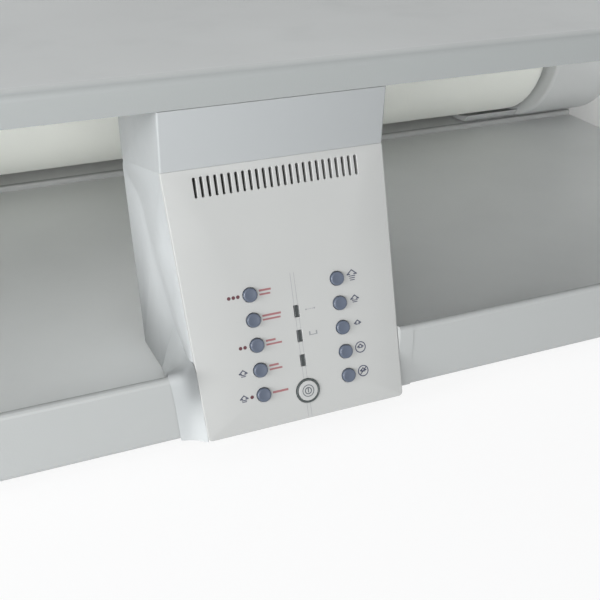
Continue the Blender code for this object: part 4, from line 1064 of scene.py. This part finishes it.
cover_radius = roller_radius - cover_inset
outer = end_curve(cover_radius, roller_half - cover_inset, end_radius, 8)
half = [(hem_radius - inward, roller_half - sunk) for inward, sunk in hem_turn]
half += [point for point in outer if point[0] > hem_radius - hem_start]
half += [(cover_radius, roller_half * share) for share in straight_shares]
bm = lathed(mirrored(half, (cover_radius, 0.0)), cover_steps, roller_place)
for vert in bm.verts:
    reach = math.hypot(vert.co.y - roller_y, vert.co.z - roller_z)
    angle = math.atan2(vert.co.z - roller_z, vert.co.y - roller_y)
    edge = max(0.0, 1.0 - (roller_half - abs(vert.co.x)) / pucker_reach)
    sway = pucker_sway * math.sin(pucker_sway_waves * angle)
    fine_pucker = fine_pucker_share * math.sin(angle * fine_pucker_waves)
    pucker = (math.sin(angle * pucker_waves + sway) + fine_pucker) * edge
    ripple = math.sin(vert.co.x * ripple_rate + ripple_sway * math.sin(angle)) * ripple_depth
    sunk = cover_slack + pucker_depth * (pucker + edge) / 2 - ripple
    shrink = 1.0 - sunk / reach
    vert.co.y = roller_y + (vert.co.y - roller_y) * shrink
    vert.co.z = roller_z + (vert.co.z - roller_z) * shrink
cover = made("cotton_cover", bm, "roller", "roller_cloth", cotton, smooth=math.radians(60))
roll_map(cover.data, roller_y, roller_z, roller_radius)
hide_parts("roller_cover")

felt_tone = (0.500, 0.480, 0.420, 1.0)
felt_dark = (0.420, 0.400, 0.350, 1.0)
felt_material = bpy.data.materials.new("needled_felt")
nodes = emptied(felt_material)
place = nodes.add("ShaderNodeTexCoord", output="Object")
fuzz = noise(nodes, place, 1400.0, 4.0, 0.7)
clump = levels(nodes, noise(nodes, place, 60.0, 4.0), 0.35, 0.65)
principled(nodes, blend(nodes, clump * 0.6 + fuzz * 0.4, felt_tone, felt_dark), 0.95,
           height=fuzz + clump * 0.4, bump=0.6, depth=0.0006)
pad_cover_gap = 0.0024
pad_end_gap = 0.0026
pad_bore_radius = 0.0683
pad_edge = 0.0068
pad_steps = 96
pad_radius = roller_radius - pad_cover_gap
pad_half = roller_half - pad_end_gap
profile = [(pad_bore_radius, pad_half)] + end_curve(pad_radius, pad_half, pad_edge, 6)
bm = lathed(mirrored(profile) + [profile[0]], pad_steps, roller_place)
padding = made("felt_padding", bm, "roller", "roller_felt", felt_material, smooth=math.radians(60))
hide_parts("roller_padding")


# End caps and panels: a steel panel closes each end, and a moulded cap with a rounded rim snaps
# over it, held by four screws set in round wells. The moulding has a fine spark-eroded grain.

cap_foot_z = 0.008
cap_front_y = -0.284162
cap_back_y = 0.294105
cap_top_z = 0.211016
cap_lip_z = 0.0545
cap_corner = 0.030
cap_rim = 0.005
cap_wall = 0.0025
cap_near = 0.5133
cap_far = 0.5253
cap_brow_y = -0.244962
cap_brow = 0.006
screw_wells = ((-0.235, 0.040), (0.255, 0.040), (0.235, 0.175), (-0.195, 0.175))
well_radius = 0.0052
well_depth = 0.0012
well_taper_share = 0.94
well_screw_height = 0.0011
cap_mouth_inset = 0.0002


def side_outline(inset):
    """The ironer's end seen from the side, in Y and Z."""
    corner = cap_corner - inset
    brow = cap_brow
    points = [(cap_front_y + inset, cap_foot_z + inset), (cap_back_y - inset, cap_foot_z + inset)]
    points += arc_points((cap_back_y - inset - corner, cap_top_z - inset - corner), corner,
                         0.0, quarter, 14)
    points += arc_points((cap_brow_y + inset + brow, cap_top_z - inset - brow), brow, quarter,
                         math.pi, 6)
    points += [(cap_front_y + inset, cap_lip_z)]
    return points


def pierced_face(bm, outer, holes=()):
    """Fill the space between an outer loop and the loops of its holes."""
    edges = list(outer)
    for hole in holes:
        edges += hole
    bmesh.ops.triangle_fill(bm, use_beauty=True, use_dissolve=False, edges=edges)


def bridged(bm, loops):
    """Join each loop to the next with faces."""
    for first, second in zip(loops, loops[1:]):
        bmesh.ops.bridge_loops(bm, edges=first + second)


def quarter_round(radius, steps=6):
    """A quarter circle that bends away from a straight side: how far along and how far in."""
    angles = [quarter * step / steps for step in range(steps + 1)]
    return [(radius * math.sin(angle), radius - radius * math.cos(angle)) for angle in angles]


head_shares = ((1.0, 0.0), (1.0, 0.35), (0.9, 0.72), (0.72, 0.94))
head_steps = 24
recess_share = 0.55
recess_floor_share = 0.8
recess_depth_share = 0.35


def screw(place, radius=0.0036, height=0.0014, slot=0.00045):
    """A pan-head screw with a cross recess; its head points along the place's own Z axis."""
    bm = bmesh.new()
    rings = [loop_of(bm, ring_points(0.0, 0.0, radius * reach, head_steps), height * rise)
             for reach, rise in head_shares]
    bridged(bm, rings)
    arm, half = radius * recess_share, slot
    cross = [(half, half), (half, arm), (-half, arm), (-half, half), (-arm, half), (-arm, -half),
             (-half, -half), (-half, -arm), (half, -arm), (half, -half), (arm, -half), (arm, half)]
    recess = [(x * recess_floor_share, y * recess_floor_share) for x, y in cross]
    mouth = loop_of(bm, cross, height)
    pierced_face(bm, rings[-1], [mouth])
    recess_floor = loop_of(bm, recess, height * recess_depth_share)
    bmesh.ops.bridge_loops(bm, edges=mouth + recess_floor)
    pierced_face(bm, recess_floor)
    pierced_face(bm, rings[0])
    bmesh.ops.transform(bm, matrix=place, verts=bm.verts)
    return bm


def facing(point, direction):
    """A place at a point with its own Z axis along a direction."""
    turn = Vector(direction).to_track_quat("Z", "Y")
    return Matrix.Translation(point) @ turn.to_matrix().to_4x4()


dull_scale = 26.0
dull_levels = (0.40, 0.72)
dull_roughness = 0.12
streak_roughness = 0.14
streak_depth = 0.0002


def brushed(name, colour, roughness, grain, stretch, dull=0.12, bump=0.06):
    """Bare metal: streaks along one axis, cloudy dulling, and a few darker handling marks."""
    material = bpy.data.materials.new(name)
    nodes = emptied(material)
    place = nodes.add("ShaderNodeTexCoord", output="Object")
    drawn = nodes.add("ShaderNodeMapping", {}, {"Vector": place, "Scale": stretch})
    streak = noise(nodes, drawn, grain, 4.0)
    cloud = levels(nodes, noise(nodes, place, dull_scale, 5.0, 0.6), *dull_levels)
    darker = (*(channel * (1.0 - dull) for channel in colour[:3]), 1.0)
    tone = blend(nodes, cloud * 0.7 + streak * 0.3, (*colour[:3], 1.0), darker)
    worn = roughness + cloud * dull_roughness + (streak - 0.5) * streak_roughness
    principled(nodes, tone, worn, 1.0, height=streak, bump=bump, depth=streak_depth)
    return material


zinc = brushed("zinc_plate", (0.62, 0.63, 0.64), 0.34, 500.0, (1.0, 1.0, 1.0))
cap_plastic = coated("cap_moulding", (0.400, 0.414, 0.411), grain=1700.0, bump=0.20, roughness=0.52)
for side, word in ((-1, "left"), (1, "right")):
    bm = bmesh.new()
    section = [(cap_near, cap_mouth_inset)]
    section += [(cap_far - cap_rim + along, inset) for along, inset in quarter_round(cap_rim)]
    rings = [loop_of(bm, side_outline(inset), side * x, 0) for x, inset in section]
    bridged(bm, rings)
    mouths = []
    for y, z in screw_wells:
        mouth = loop_of(bm, ring_points(y, z, well_radius, head_steps), side * cap_far, 0)
        well_floor = loop_of(bm, ring_points(y, z, well_radius * well_taper_share, head_steps),
                             side * (cap_far - well_depth), 0)
        bmesh.ops.bridge_loops(bm, edges=mouth + well_floor)
        pierced_face(bm, well_floor)
        mouths.append(mouth)
    pierced_face(bm, rings[-1], mouths)
    inside = [loop_of(bm, side_outline(cap_rim + cap_wall), side * x, 0)
              for x in (cap_near, cap_far - cap_wall)]
    bridged(bm, inside)
    pierced_face(bm, inside[1])
    pierced_face(bm, rings[0], [inside[0]])
    cap = made(f"{word}_cap_moulding", bm, "root", "moulded_white", cap_plastic)
    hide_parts(f"{word}_end_cap")
    heads = [screw(facing((side * (cap_far - well_depth), y, z), (side, 0.0, 0.0)),
                   height=well_screw_height) for y, z in screw_wells]
    made(f"{word}_cap_screws", gather(*heads), "root", "steel", zinc)

panel_paint = coated("panel_powder_coat", (0.900, 0.900, 0.890), bump=0.13, roughness=0.45)
dress(panel_paint, "left_end_panel", "right_end_panel")


# End housings: grey-white mouldings round the bearings and drives at the roller's ends, with a soft
# edge towards the roller and a curved guard tongue that runs under the roller's end.

wall_x = 0.4303
housing_far = 0.5097
housing_radius = 0.0885
housing_base = 0.0188
housing_back = 0.290805
housing_wall = 0.0025
housing_corner = 0.006
fillet = 0.0034
journal_opening = 0.012
arm_opening = ((0.231, 0.0995), (0.2861, 0.1535))
tongue_near = 0.3663
tongue_inner = 0.0825
tongue_front = math.radians(20)
tongue_rear = math.radians(24)
tongue_undercut = math.radians(6)
tongue_soft = 0.0012
tongue_gap = 0.0003
tongue_face_limit = 1e-5
six_o_clock = 1.5 * math.pi


def housing_side(inset):
    """Side view of a housing in Y and Z, from its front foot over the top to its back foot."""
    radius = housing_radius - inset
    top = roller_z + radius
    back = housing_back - inset
    corner = housing_corner
    points = [(roller_y, housing_base)]
    points += arc_points((roller_y, roller_z), radius, six_o_clock, quarter, 40)
    points += arc_points((back - corner, top - corner), corner, quarter, 0.0, 8)
    points.append((back, housing_base))
    return points


housing_plastic = coated("housing_moulding", (0.640, 0.654, 0.654), grain=1500.0, bump=0.16,
                         roughness=0.48)
for side, word in ((-1, "left"), (1, "right")):
    bm = bmesh.new()
    section = [(wall_x + housing_wall, housing_wall), (housing_far, housing_wall),
               (housing_far, 0.0)]
    section += [(wall_x + fillet - along, inset) for along, inset in quarter_round(fillet)]
    rails = [laid(bm, housing_side(inset), side * x, 0) for x, inset in section]
    for low, high in zip(rails, rails[1:]):
        for index in range(len(low) - 1):
            bm.faces.new((low[index], low[index + 1], high[index + 1], high[index]))
    walls = []
    for x, verts in ((wall_x, rails[-1]), (wall_x + housing_wall, rails[0])):
        edges = []
        for first, second in zip(verts, verts[1:] + verts[:1]):
            edge = bm.edges.get((first, second))
            edges.append(edge if edge else bm.edges.new((first, second)))
        hole = loop_of(bm, ring_points(roller_y, roller_z, journal_opening, 32), side * x, 0)
        gate = loop_of(bm, rectangle(*arm_opening), side * x, 0)
        pierced_face(bm, edges, [hole, gate])
        walls.append((hole, gate))
    for near, far in zip(*walls):
        bmesh.ops.bridge_loops(bm, edges=near + far)
    start, end = six_o_clock - tongue_front, six_o_clock + tongue_rear
    outline = arc_points((roller_y, roller_z), housing_radius - tongue_gap,
                         start + tongue_undercut, end, 24)
    outline += arc_points((roller_y, roller_z), tongue_inner, end, start, 24)
    reach = wall_x + housing_wall / 2 - tongue_near
    tongue = plate(outline, side * reach, 0, side * tongue_near)
    edges = [edge for edge in tongue.edges
             if all(abs(vert.co.x - side * tongue_near) < tongue_face_limit for vert in edge.verts)]
    rounded(tongue, edges, tongue_soft, 4)
    housing = made(f"{word}_housing_moulding", gather(bm, tongue), "root", "moulded_grey",
                   housing_plastic, smooth=math.radians(40))
    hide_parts(f"{word}_end_housing")


# Frame and drive: galvanised plates carry bronze bearings, the hinge pins and both motors. A
# moulded gear on the right journal meets a brass pinion on the geared motor.

flake_scale = 160.0
flake_light = (0.62, 0.64, 0.65, 1.0)
flake_dark = (0.47, 0.49, 0.50, 1.0)
galvanised = bpy.data.materials.new("galvanised_steel")
nodes = emptied(galvanised)
place = nodes.add("ShaderNodeTexCoord", output="Object")
flakes = nodes.add("ShaderNodeTexVoronoi", {"feature": "F1"},
                   {"Vector": place, "Scale": flake_scale}, "Color")
flake = nodes.add("ShaderNodeSeparateColor", {}, {"Color": flakes})
cloud = noise(nodes, place, 30.0, 4.0)
tone = blend(nodes, flake * 0.6 + cloud * 0.4, flake_dark, flake_light)
principled(nodes, tone, 0.36 + flake * 0.22, 0.95, height=flake, bump=0.05, depth=0.0003)
dress(galvanised, "left_frame_plate", "right_frame_plate", "rear_rail")

turned = brushed("turned_steel", (0.60, 0.60, 0.61), 0.24, 900.0, (60.0, 1.0, 1.0), 0.15, 0.10)
dress(turned, "left_journal", "right_journal", "left_hinge_pin", "right_hinge_pin")
pressed = brushed("pressed_steel", (0.52, 0.53, 0.54), 0.36, 300.0, (1.0, 1.0, 1.0), 0.18, 0.06)
dress(pressed, "left_end_disc", "right_end_disc", "roller_tube")
dress(zinc, "left_shoe_arm", "right_shoe_arm")
bronze = brushed("sintered_bronze", (0.52, 0.34, 0.17), 0.42, 1400.0, (1.0, 1.0, 1.0), 0.30, 0.14)
dress(bronze, "left_bearing", "right_bearing", "cam_follower")
brass = brushed("machined_brass", (0.66, 0.50, 0.24), 0.26, 900.0, (30.0, 1.0, 1.0), 0.20, 0.08)
dress(brass, "motor_pinion", "press_cam")
acetal = coated("gear_moulding", (0.060, 0.064, 0.066), grain=1800.0, bump=0.10, roughness=0.38,
                shift=0.25)
dress(acetal, "drive_gear")
can_metal = brushed("motor_can", (0.40, 0.41, 0.42), 0.40, 500.0, (14.0, 1.0, 1.0), 0.25, 0.06)
dress(can_metal, "gear_motor", "press_motor")

gear_face_x = 0.4763
hub_radius = 0.016
hub_bore = 0.0094
hub_reach = 0.0017
hub_corner = 0.0006
hub_steps = 40
circlip_radius = 0.0135
circlip_bore = 0.0091
circlip_gap = 0.0002
circlip_thickness = 0.0009
circlip_steps = 32
hub_face_x = gear_face_x + hub_reach
circlip_x = hub_face_x + circlip_gap

bm = lathed([(hub_bore, gear_face_x), (hub_radius, gear_face_x),
             (hub_radius - hub_corner, hub_face_x), (hub_bore, hub_face_x),
             (hub_bore, gear_face_x)], hub_steps, roller_place)
made("gear_hub", bm, "roller", "dark_plastic", acetal)
bm = lathed([(circlip_bore, circlip_x), (circlip_radius, circlip_x),
             (circlip_radius, circlip_x + circlip_thickness),
             (circlip_bore, circlip_x + circlip_thickness), (circlip_bore, circlip_x)],
            circlip_steps, roller_place)
made("gear_circlip", bm, "roller", "steel", turned)

pinion_place = (0.194909, 0.134598)
motor_face_x = 0.4823
motor_screw_reach = 0.01802
motor_screw_radius = 0.0028
plate_face_x = 0.4545
plate_screw_places = ((0.270, 0.165), (0.272, 0.030), (0.222, 0.030))
plate_screw_radius = 0.0034

heads = []
for y_sign, z_sign in ((1, 1), (1, -1), (-1, 1)):
    point = (motor_face_x, pinion_place[0] + y_sign * motor_screw_reach,
             pinion_place[1] + z_sign * motor_screw_reach)
    heads.append(screw(facing(point, (-1.0, 0.0, 0.0)), radius=motor_screw_radius))
made("gear_motor_screws", gather(*heads), "root", "steel", zinc)

heads = [screw(facing((side * plate_face_x, y, z), (-side, 0.0, 0.0)), radius=plate_screw_radius)
         for side in (-1, 1) for y, z in plate_screw_places]
made("frame_plate_screws", gather(*heads), "root", "steel", zinc)


# Heated shoe: a polished aluminium trough with rolled lips, closed behind by a moulded casing. The
# tubular element, thermostat and fuse are clamped to its back. It swings away from the roller.

pivot_y = 0.197638
pivot_z = 0.0335
shoe_tilt = math.radians(12)
pivot_place = Matrix.Translation((0.0, pivot_y, pivot_z)) @ Matrix.Rotation(-shoe_tilt, 4, "X")
shoe_centre = (-0.040, 0.075)
shoe_inner = 0.081
shoe_outer = 0.085
shoe_half = 0.425
shoe_low = math.radians(-50)
shoe_high = math.radians(75)
shoe_lip = 0.0016
shoe_steps = 80


def from_shoe_centre(reach, angle):
    """A point at a distance and an angle from the shoe's centre."""
    return (shoe_centre[0] + reach * math.cos(angle), shoe_centre[1] + reach * math.sin(angle))


def lipped(inner, outer, low, high, steps):
    """A part of a ring about the shoe's centre with rounded ends."""
    middle = (inner + outer) / 2
    half = (outer - inner) / 2
    points = arc_points(shoe_centre, outer, low, high, steps)
    points += arc_points(from_shoe_centre(middle, high), half, high, high + math.pi, 8)[1:-1]
    points += arc_points(shoe_centre, inner, high, low, steps)
    points += arc_points(from_shoe_centre(middle, low), half, low + math.pi, low + math.tau,
                         8)[1:-1]
    return points


polished = brushed("polished_aluminium", (0.80, 0.81, 0.82), 0.16, 260.0, (0.4, 14.0, 14.0), 0.06,
                   0.03)
inset = shoe_lip / shoe_outer
bm = plate(lipped(shoe_inner, shoe_outer, shoe_low + inset, shoe_high - inset, shoe_steps),
           2 * shoe_half, 0, -shoe_half)
bmesh.ops.transform(bm, matrix=pivot_place, verts=bm.verts)
shoe = made("polished_shoe", bm, "shoe", "shoe_aluminium", polished)
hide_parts("heating_shoe")

casing_outer = 0.113
casing_wall = 0.002
casing_low = math.radians(-36)
casing_seat = 0.0853
casing_edge = 0.0016
casing_end_wall = 0.003
casing_end_inset = 0.0006
casing_end_drop = 0.0004
casing_steps = 60

trim = casing_wall / casing_outer
soft = casing_edge / casing_outer
edge_reach = casing_outer - casing_edge
points = arc_points(shoe_centre, casing_outer, casing_low + soft, shoe_high - soft, 72)
points += arc_points(from_shoe_centre(edge_reach, shoe_high - soft), casing_edge, shoe_high,
                     shoe_high + quarter, 5)[1:]
points += [from_shoe_centre(casing_seat, angle) for angle in (shoe_high, shoe_high - trim)]
points += arc_points(shoe_centre, casing_outer - casing_wall, shoe_high - trim, casing_low + trim,
                     casing_steps)
points += [from_shoe_centre(casing_seat, angle) for angle in (casing_low + trim, casing_low)]
points += arc_points(from_shoe_centre(edge_reach, casing_low + soft), casing_edge,
                     casing_low - quarter, casing_low, 5)[:-1]
parts = [plate(points, 2 * shoe_half, 0, -shoe_half)]
low, high = casing_low + trim / 2, shoe_high - trim / 2
end_points = arc_points(shoe_centre, casing_outer - casing_end_drop, low, high, casing_steps)
end_points += arc_points(shoe_centre, casing_seat, high, low, casing_steps)
for side in (-1, 1):
    parts.append(plate(end_points, -side * casing_end_wall, 0,
                       side * (shoe_half - casing_end_inset)))
bm = gather(*parts)
bmesh.ops.transform(bm, matrix=pivot_place, verts=bm.verts)
casing_plastic = coated("casing_moulding", (0.430, 0.446, 0.440), grain=1500.0, bump=0.18,
                        roughness=0.50)
casing = made("shoe_back_casing", bm, "shoe", "moulded_white", casing_plastic)
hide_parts("shoe_casing")

casing_screw_angles = (math.radians(-20), math.radians(12), math.radians(48))
casing_screw_reach = 0.099
casing_screw_sink = 0.0004
casing_screw_radius = 0.0030
casing_screw_height = 0.0012

heads = []
for side in (-1, 1):
    for angle in casing_screw_angles:
        seat = Vector((side * (shoe_half - casing_screw_sink),
                       *from_shoe_centre(casing_screw_reach, angle)))
        heads.append(screw(facing(pivot_place @ seat, (side, 0.0, 0.0)), radius=casing_screw_radius,
                           height=casing_screw_height))
made("casing_screws", gather(*heads), "shoe", "steel", zinc)

sheath = brushed("element_sheath", (0.30, 0.27, 0.24), 0.48, 700.0, (1.0, 1.0, 1.0), 0.35, 0.10)
dress(sheath, "heating_element")
bakelite = coated("thermostat_moulding", (0.045, 0.035, 0.030), grain=1200.0, bump=0.10,
                  roughness=0.40, shift=0.3)
dress(bakelite, "thermostat")
fuse_metal = brushed("fuse_can", (0.55, 0.52, 0.46), 0.34, 600.0, (1.0, 1.0, 1.0), 0.25, 0.06)
dress(fuse_metal, "thermal_fuse")
thermostat_x = 0.060
thermostat_angle = 0.2094
thermostat_profile = [(0.0, 0.0118), (0.0052, 0.0118), (0.0062, 0.0112), (0.0062, 0.0101),
                      (0.0, 0.0101)]
seat = (thermostat_x, *from_shoe_centre(casing_seat, thermostat_angle))
cap_place = pivot_place @ Matrix.Translation(seat) @ Matrix.Rotation(shoe_tilt - quarter, 4, "X")
bm = lathed(thermostat_profile, 32, cap_place)
made("thermostat_cap", bm, "shoe", "steel", fuse_metal)


# Rear: screws hold the steel rear cover, and a moulded appliance inlet with a flange and brass
# blades is clipped in beside them.

rear_face_y = 0.294105
cover_screw_height = 0.0012
cover_screw_columns = (-0.49, -0.245, 0.0, 0.215, 0.385, 0.49)
cover_screw_rows = (0.030, 0.160)
heads = [screw(facing((x, rear_face_y, z), (0.0, 1.0, 0.0)), height=cover_screw_height)
         for x in cover_screw_columns for z in cover_screw_rows]
made("rear_cover_screws", gather(*heads), "root", "steel", zinc)

inlet_low = (0.286, 0.0395)
inlet_high = (0.314, 0.0595)
inlet_wall = 0.002
inlet_depth = 0.009
inlet_back = 0.2823
inlet_rim = 0.0004
inlet_sink = 0.0001
inlet_face_y = rear_face_y - inlet_sink
inlet_corner = 0.0005
mouth_corner = 0.0040
mouth_taper = 0.0002
flange_box = ((0.282, 0.0355), (0.318, 0.0635))
flange_front_y = 0.2888
flange_back_y = 0.2908
flange_gap = 0.0002
blade_places = ((0.293, 0.0478), (0.307, 0.0478), (0.300, 0.0528))
blade_half = (0.0012, 0.0020)
blade_length = 0.0072
blade_edge = 0.0005
blade_tip_y = 0.2915
inlet_plastic = coated("inlet_moulding", (0.028, 0.030, 0.031), grain=1300.0, bump=0.12,
                       roughness=0.42, shift=0.2)


def inlet_outline(grow, corner):
    """The inlet's outline in X and Z, its two lower corners cut."""
    low_x, low_z = inlet_low[0] - grow, inlet_low[1] - grow
    high_x, high_z = inlet_high[0] + grow, inlet_high[1] + grow
    return [(low_x + corner, low_z), (high_x - corner, low_z), (high_x, low_z + corner),
            (high_x, high_z), (low_x, high_z), (low_x, low_z + corner)]


bm = bmesh.new()
inlet_section = ((0.0, inlet_corner, inlet_back),
                 (0.0, inlet_corner, inlet_face_y - inlet_rim),
                 (-inlet_rim, inlet_corner, inlet_face_y),
                 (-inlet_wall, mouth_corner, inlet_face_y),
                 (-inlet_wall - mouth_taper, mouth_corner, inlet_face_y - inlet_depth))
rings = [loop_of(bm, inlet_outline(grow, corner), y, 1) for grow, corner, y in inlet_section]
bridged(bm, rings)
pierced_face(bm, rings[0])
pierced_face(bm, rings[-1])
inlet = made("inlet_socket", bm, "root", "dark_plastic", inlet_plastic)
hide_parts("mains_inlet")

bm = bmesh.new()
outers, inners = [], []
for y in (flange_front_y, flange_back_y):
    outers.append(loop_of(bm, rectangle(*flange_box), y, 1))
    inners.append(loop_of(bm, inlet_outline(flange_gap, inlet_corner), y, 1))
    pierced_face(bm, outers[-1], [inners[-1]])
bridged(bm, outers)
bridged(bm, inners)
made("inlet_flange", bm, "root", "dark_plastic", inlet_plastic)

blades = []
half_x, half_z = blade_half
for x, z in blade_places:
    outline = rectangle((x - half_x, z - half_z), (x + half_x, z + half_z))
    pin = plate(outline, blade_length, 1, inlet_face_y - inlet_depth)
    tip_edges = [edge for edge in pin.edges
                 if min(vert.co.y for vert in edge.verts) > blade_tip_y]
    rounded(pin, tip_edges, blade_edge, 2)
    blades.append(pin)
made("inlet_blades", gather(*blades), "root", "brass", brass)


# Feet: four turned rubber feet, short ones under the tray and taller ones under the rear chassis,
# each held by a screw that is sunk in its foot.

rubber = coated("foot_rubber_compound", (0.040, 0.041, 0.042), grain=1100.0, bump=0.25,
                roughness=0.78, shift=0.25)
foot_list = (("front_left_foot", -0.46, -0.2424, 0.0117),
             ("front_right_foot", 0.46, -0.2424, 0.0117),
             ("rear_left_foot", -0.46, 0.2411, 0.0167),
             ("rear_right_foot", 0.46, 0.2411, 0.0167))
foot_recess = 0.0035
foot_sole = [(0.0, foot_recess), (0.0040, foot_recess), (0.0044, 0.0030), (0.0048, 0.0004),
             (0.0054, 0.0), (0.0118, 0.0), (0.0127, 0.0004), (0.0131, 0.0012)]
foot_crown = [(0.0139, 0.0010), (0.0136, 0.0002), (0.0130, 0.0), (0.0, 0.0)]
foot_steps = 48
foot_screw_radius = 0.0033

for name, x, y, height in foot_list:
    profile = foot_sole + [(radius, height - below) for radius, below in foot_crown]
    bm = lathed(profile, foot_steps, Matrix.Translation((x, y, 0.0)))
    foot = made(f"{name}_rubber", bm, "root", "foot_rubber", rubber)
    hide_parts(name)
    head = screw(facing((x, y, foot_recess), (0.0, 0.0, -1.0)), radius=foot_screw_radius)
    made(f"{name}_screw", head, "root", "steel", zinc)


# Electrics in the column: a green control board behind the panel, a relay board with two relays
# that stands on the tray, and the moulded service cover at the back.

laminate_green = (0.012, 0.085, 0.045, 1.0)
track_green = (0.018, 0.150, 0.075, 1.0)
solder_grey = (0.55, 0.56, 0.54, 1.0)
track_scale = 130.0
speck_scale = 420.0
board = bpy.data.materials.new("circuit_board_laminate")
nodes = emptied(board)
place = nodes.add("ShaderNodeTexCoord", output="Object")
cells = nodes.add("ShaderNodeTexVoronoi", {"feature": "DISTANCE_TO_EDGE", "distance": "CHEBYCHEV"},
                  {"Vector": place, "Scale": track_scale, "Randomness": 0.35})
track = levels(nodes, cells, 0.10, 0.12)
speck = levels(nodes, noise(nodes, place, speck_scale, 1.0), 0.66, 0.69)
tone = blend(nodes, track, laminate_green, track_green)
tone = blend(nodes, speck, tone, solder_grey)
principled(nodes, tone, 0.32 + speck * 0.1, speck * 0.7, height=track, bump=0.25, depth=0.0001)
dress(board, "control_board", "relay_board")

service_paint = coated("service_cover_moulding", (0.57, 0.59, 0.59), grain=1500.0, bump=0.16,
                       roughness=0.5)
dress(service_paint, "column_service_cover")
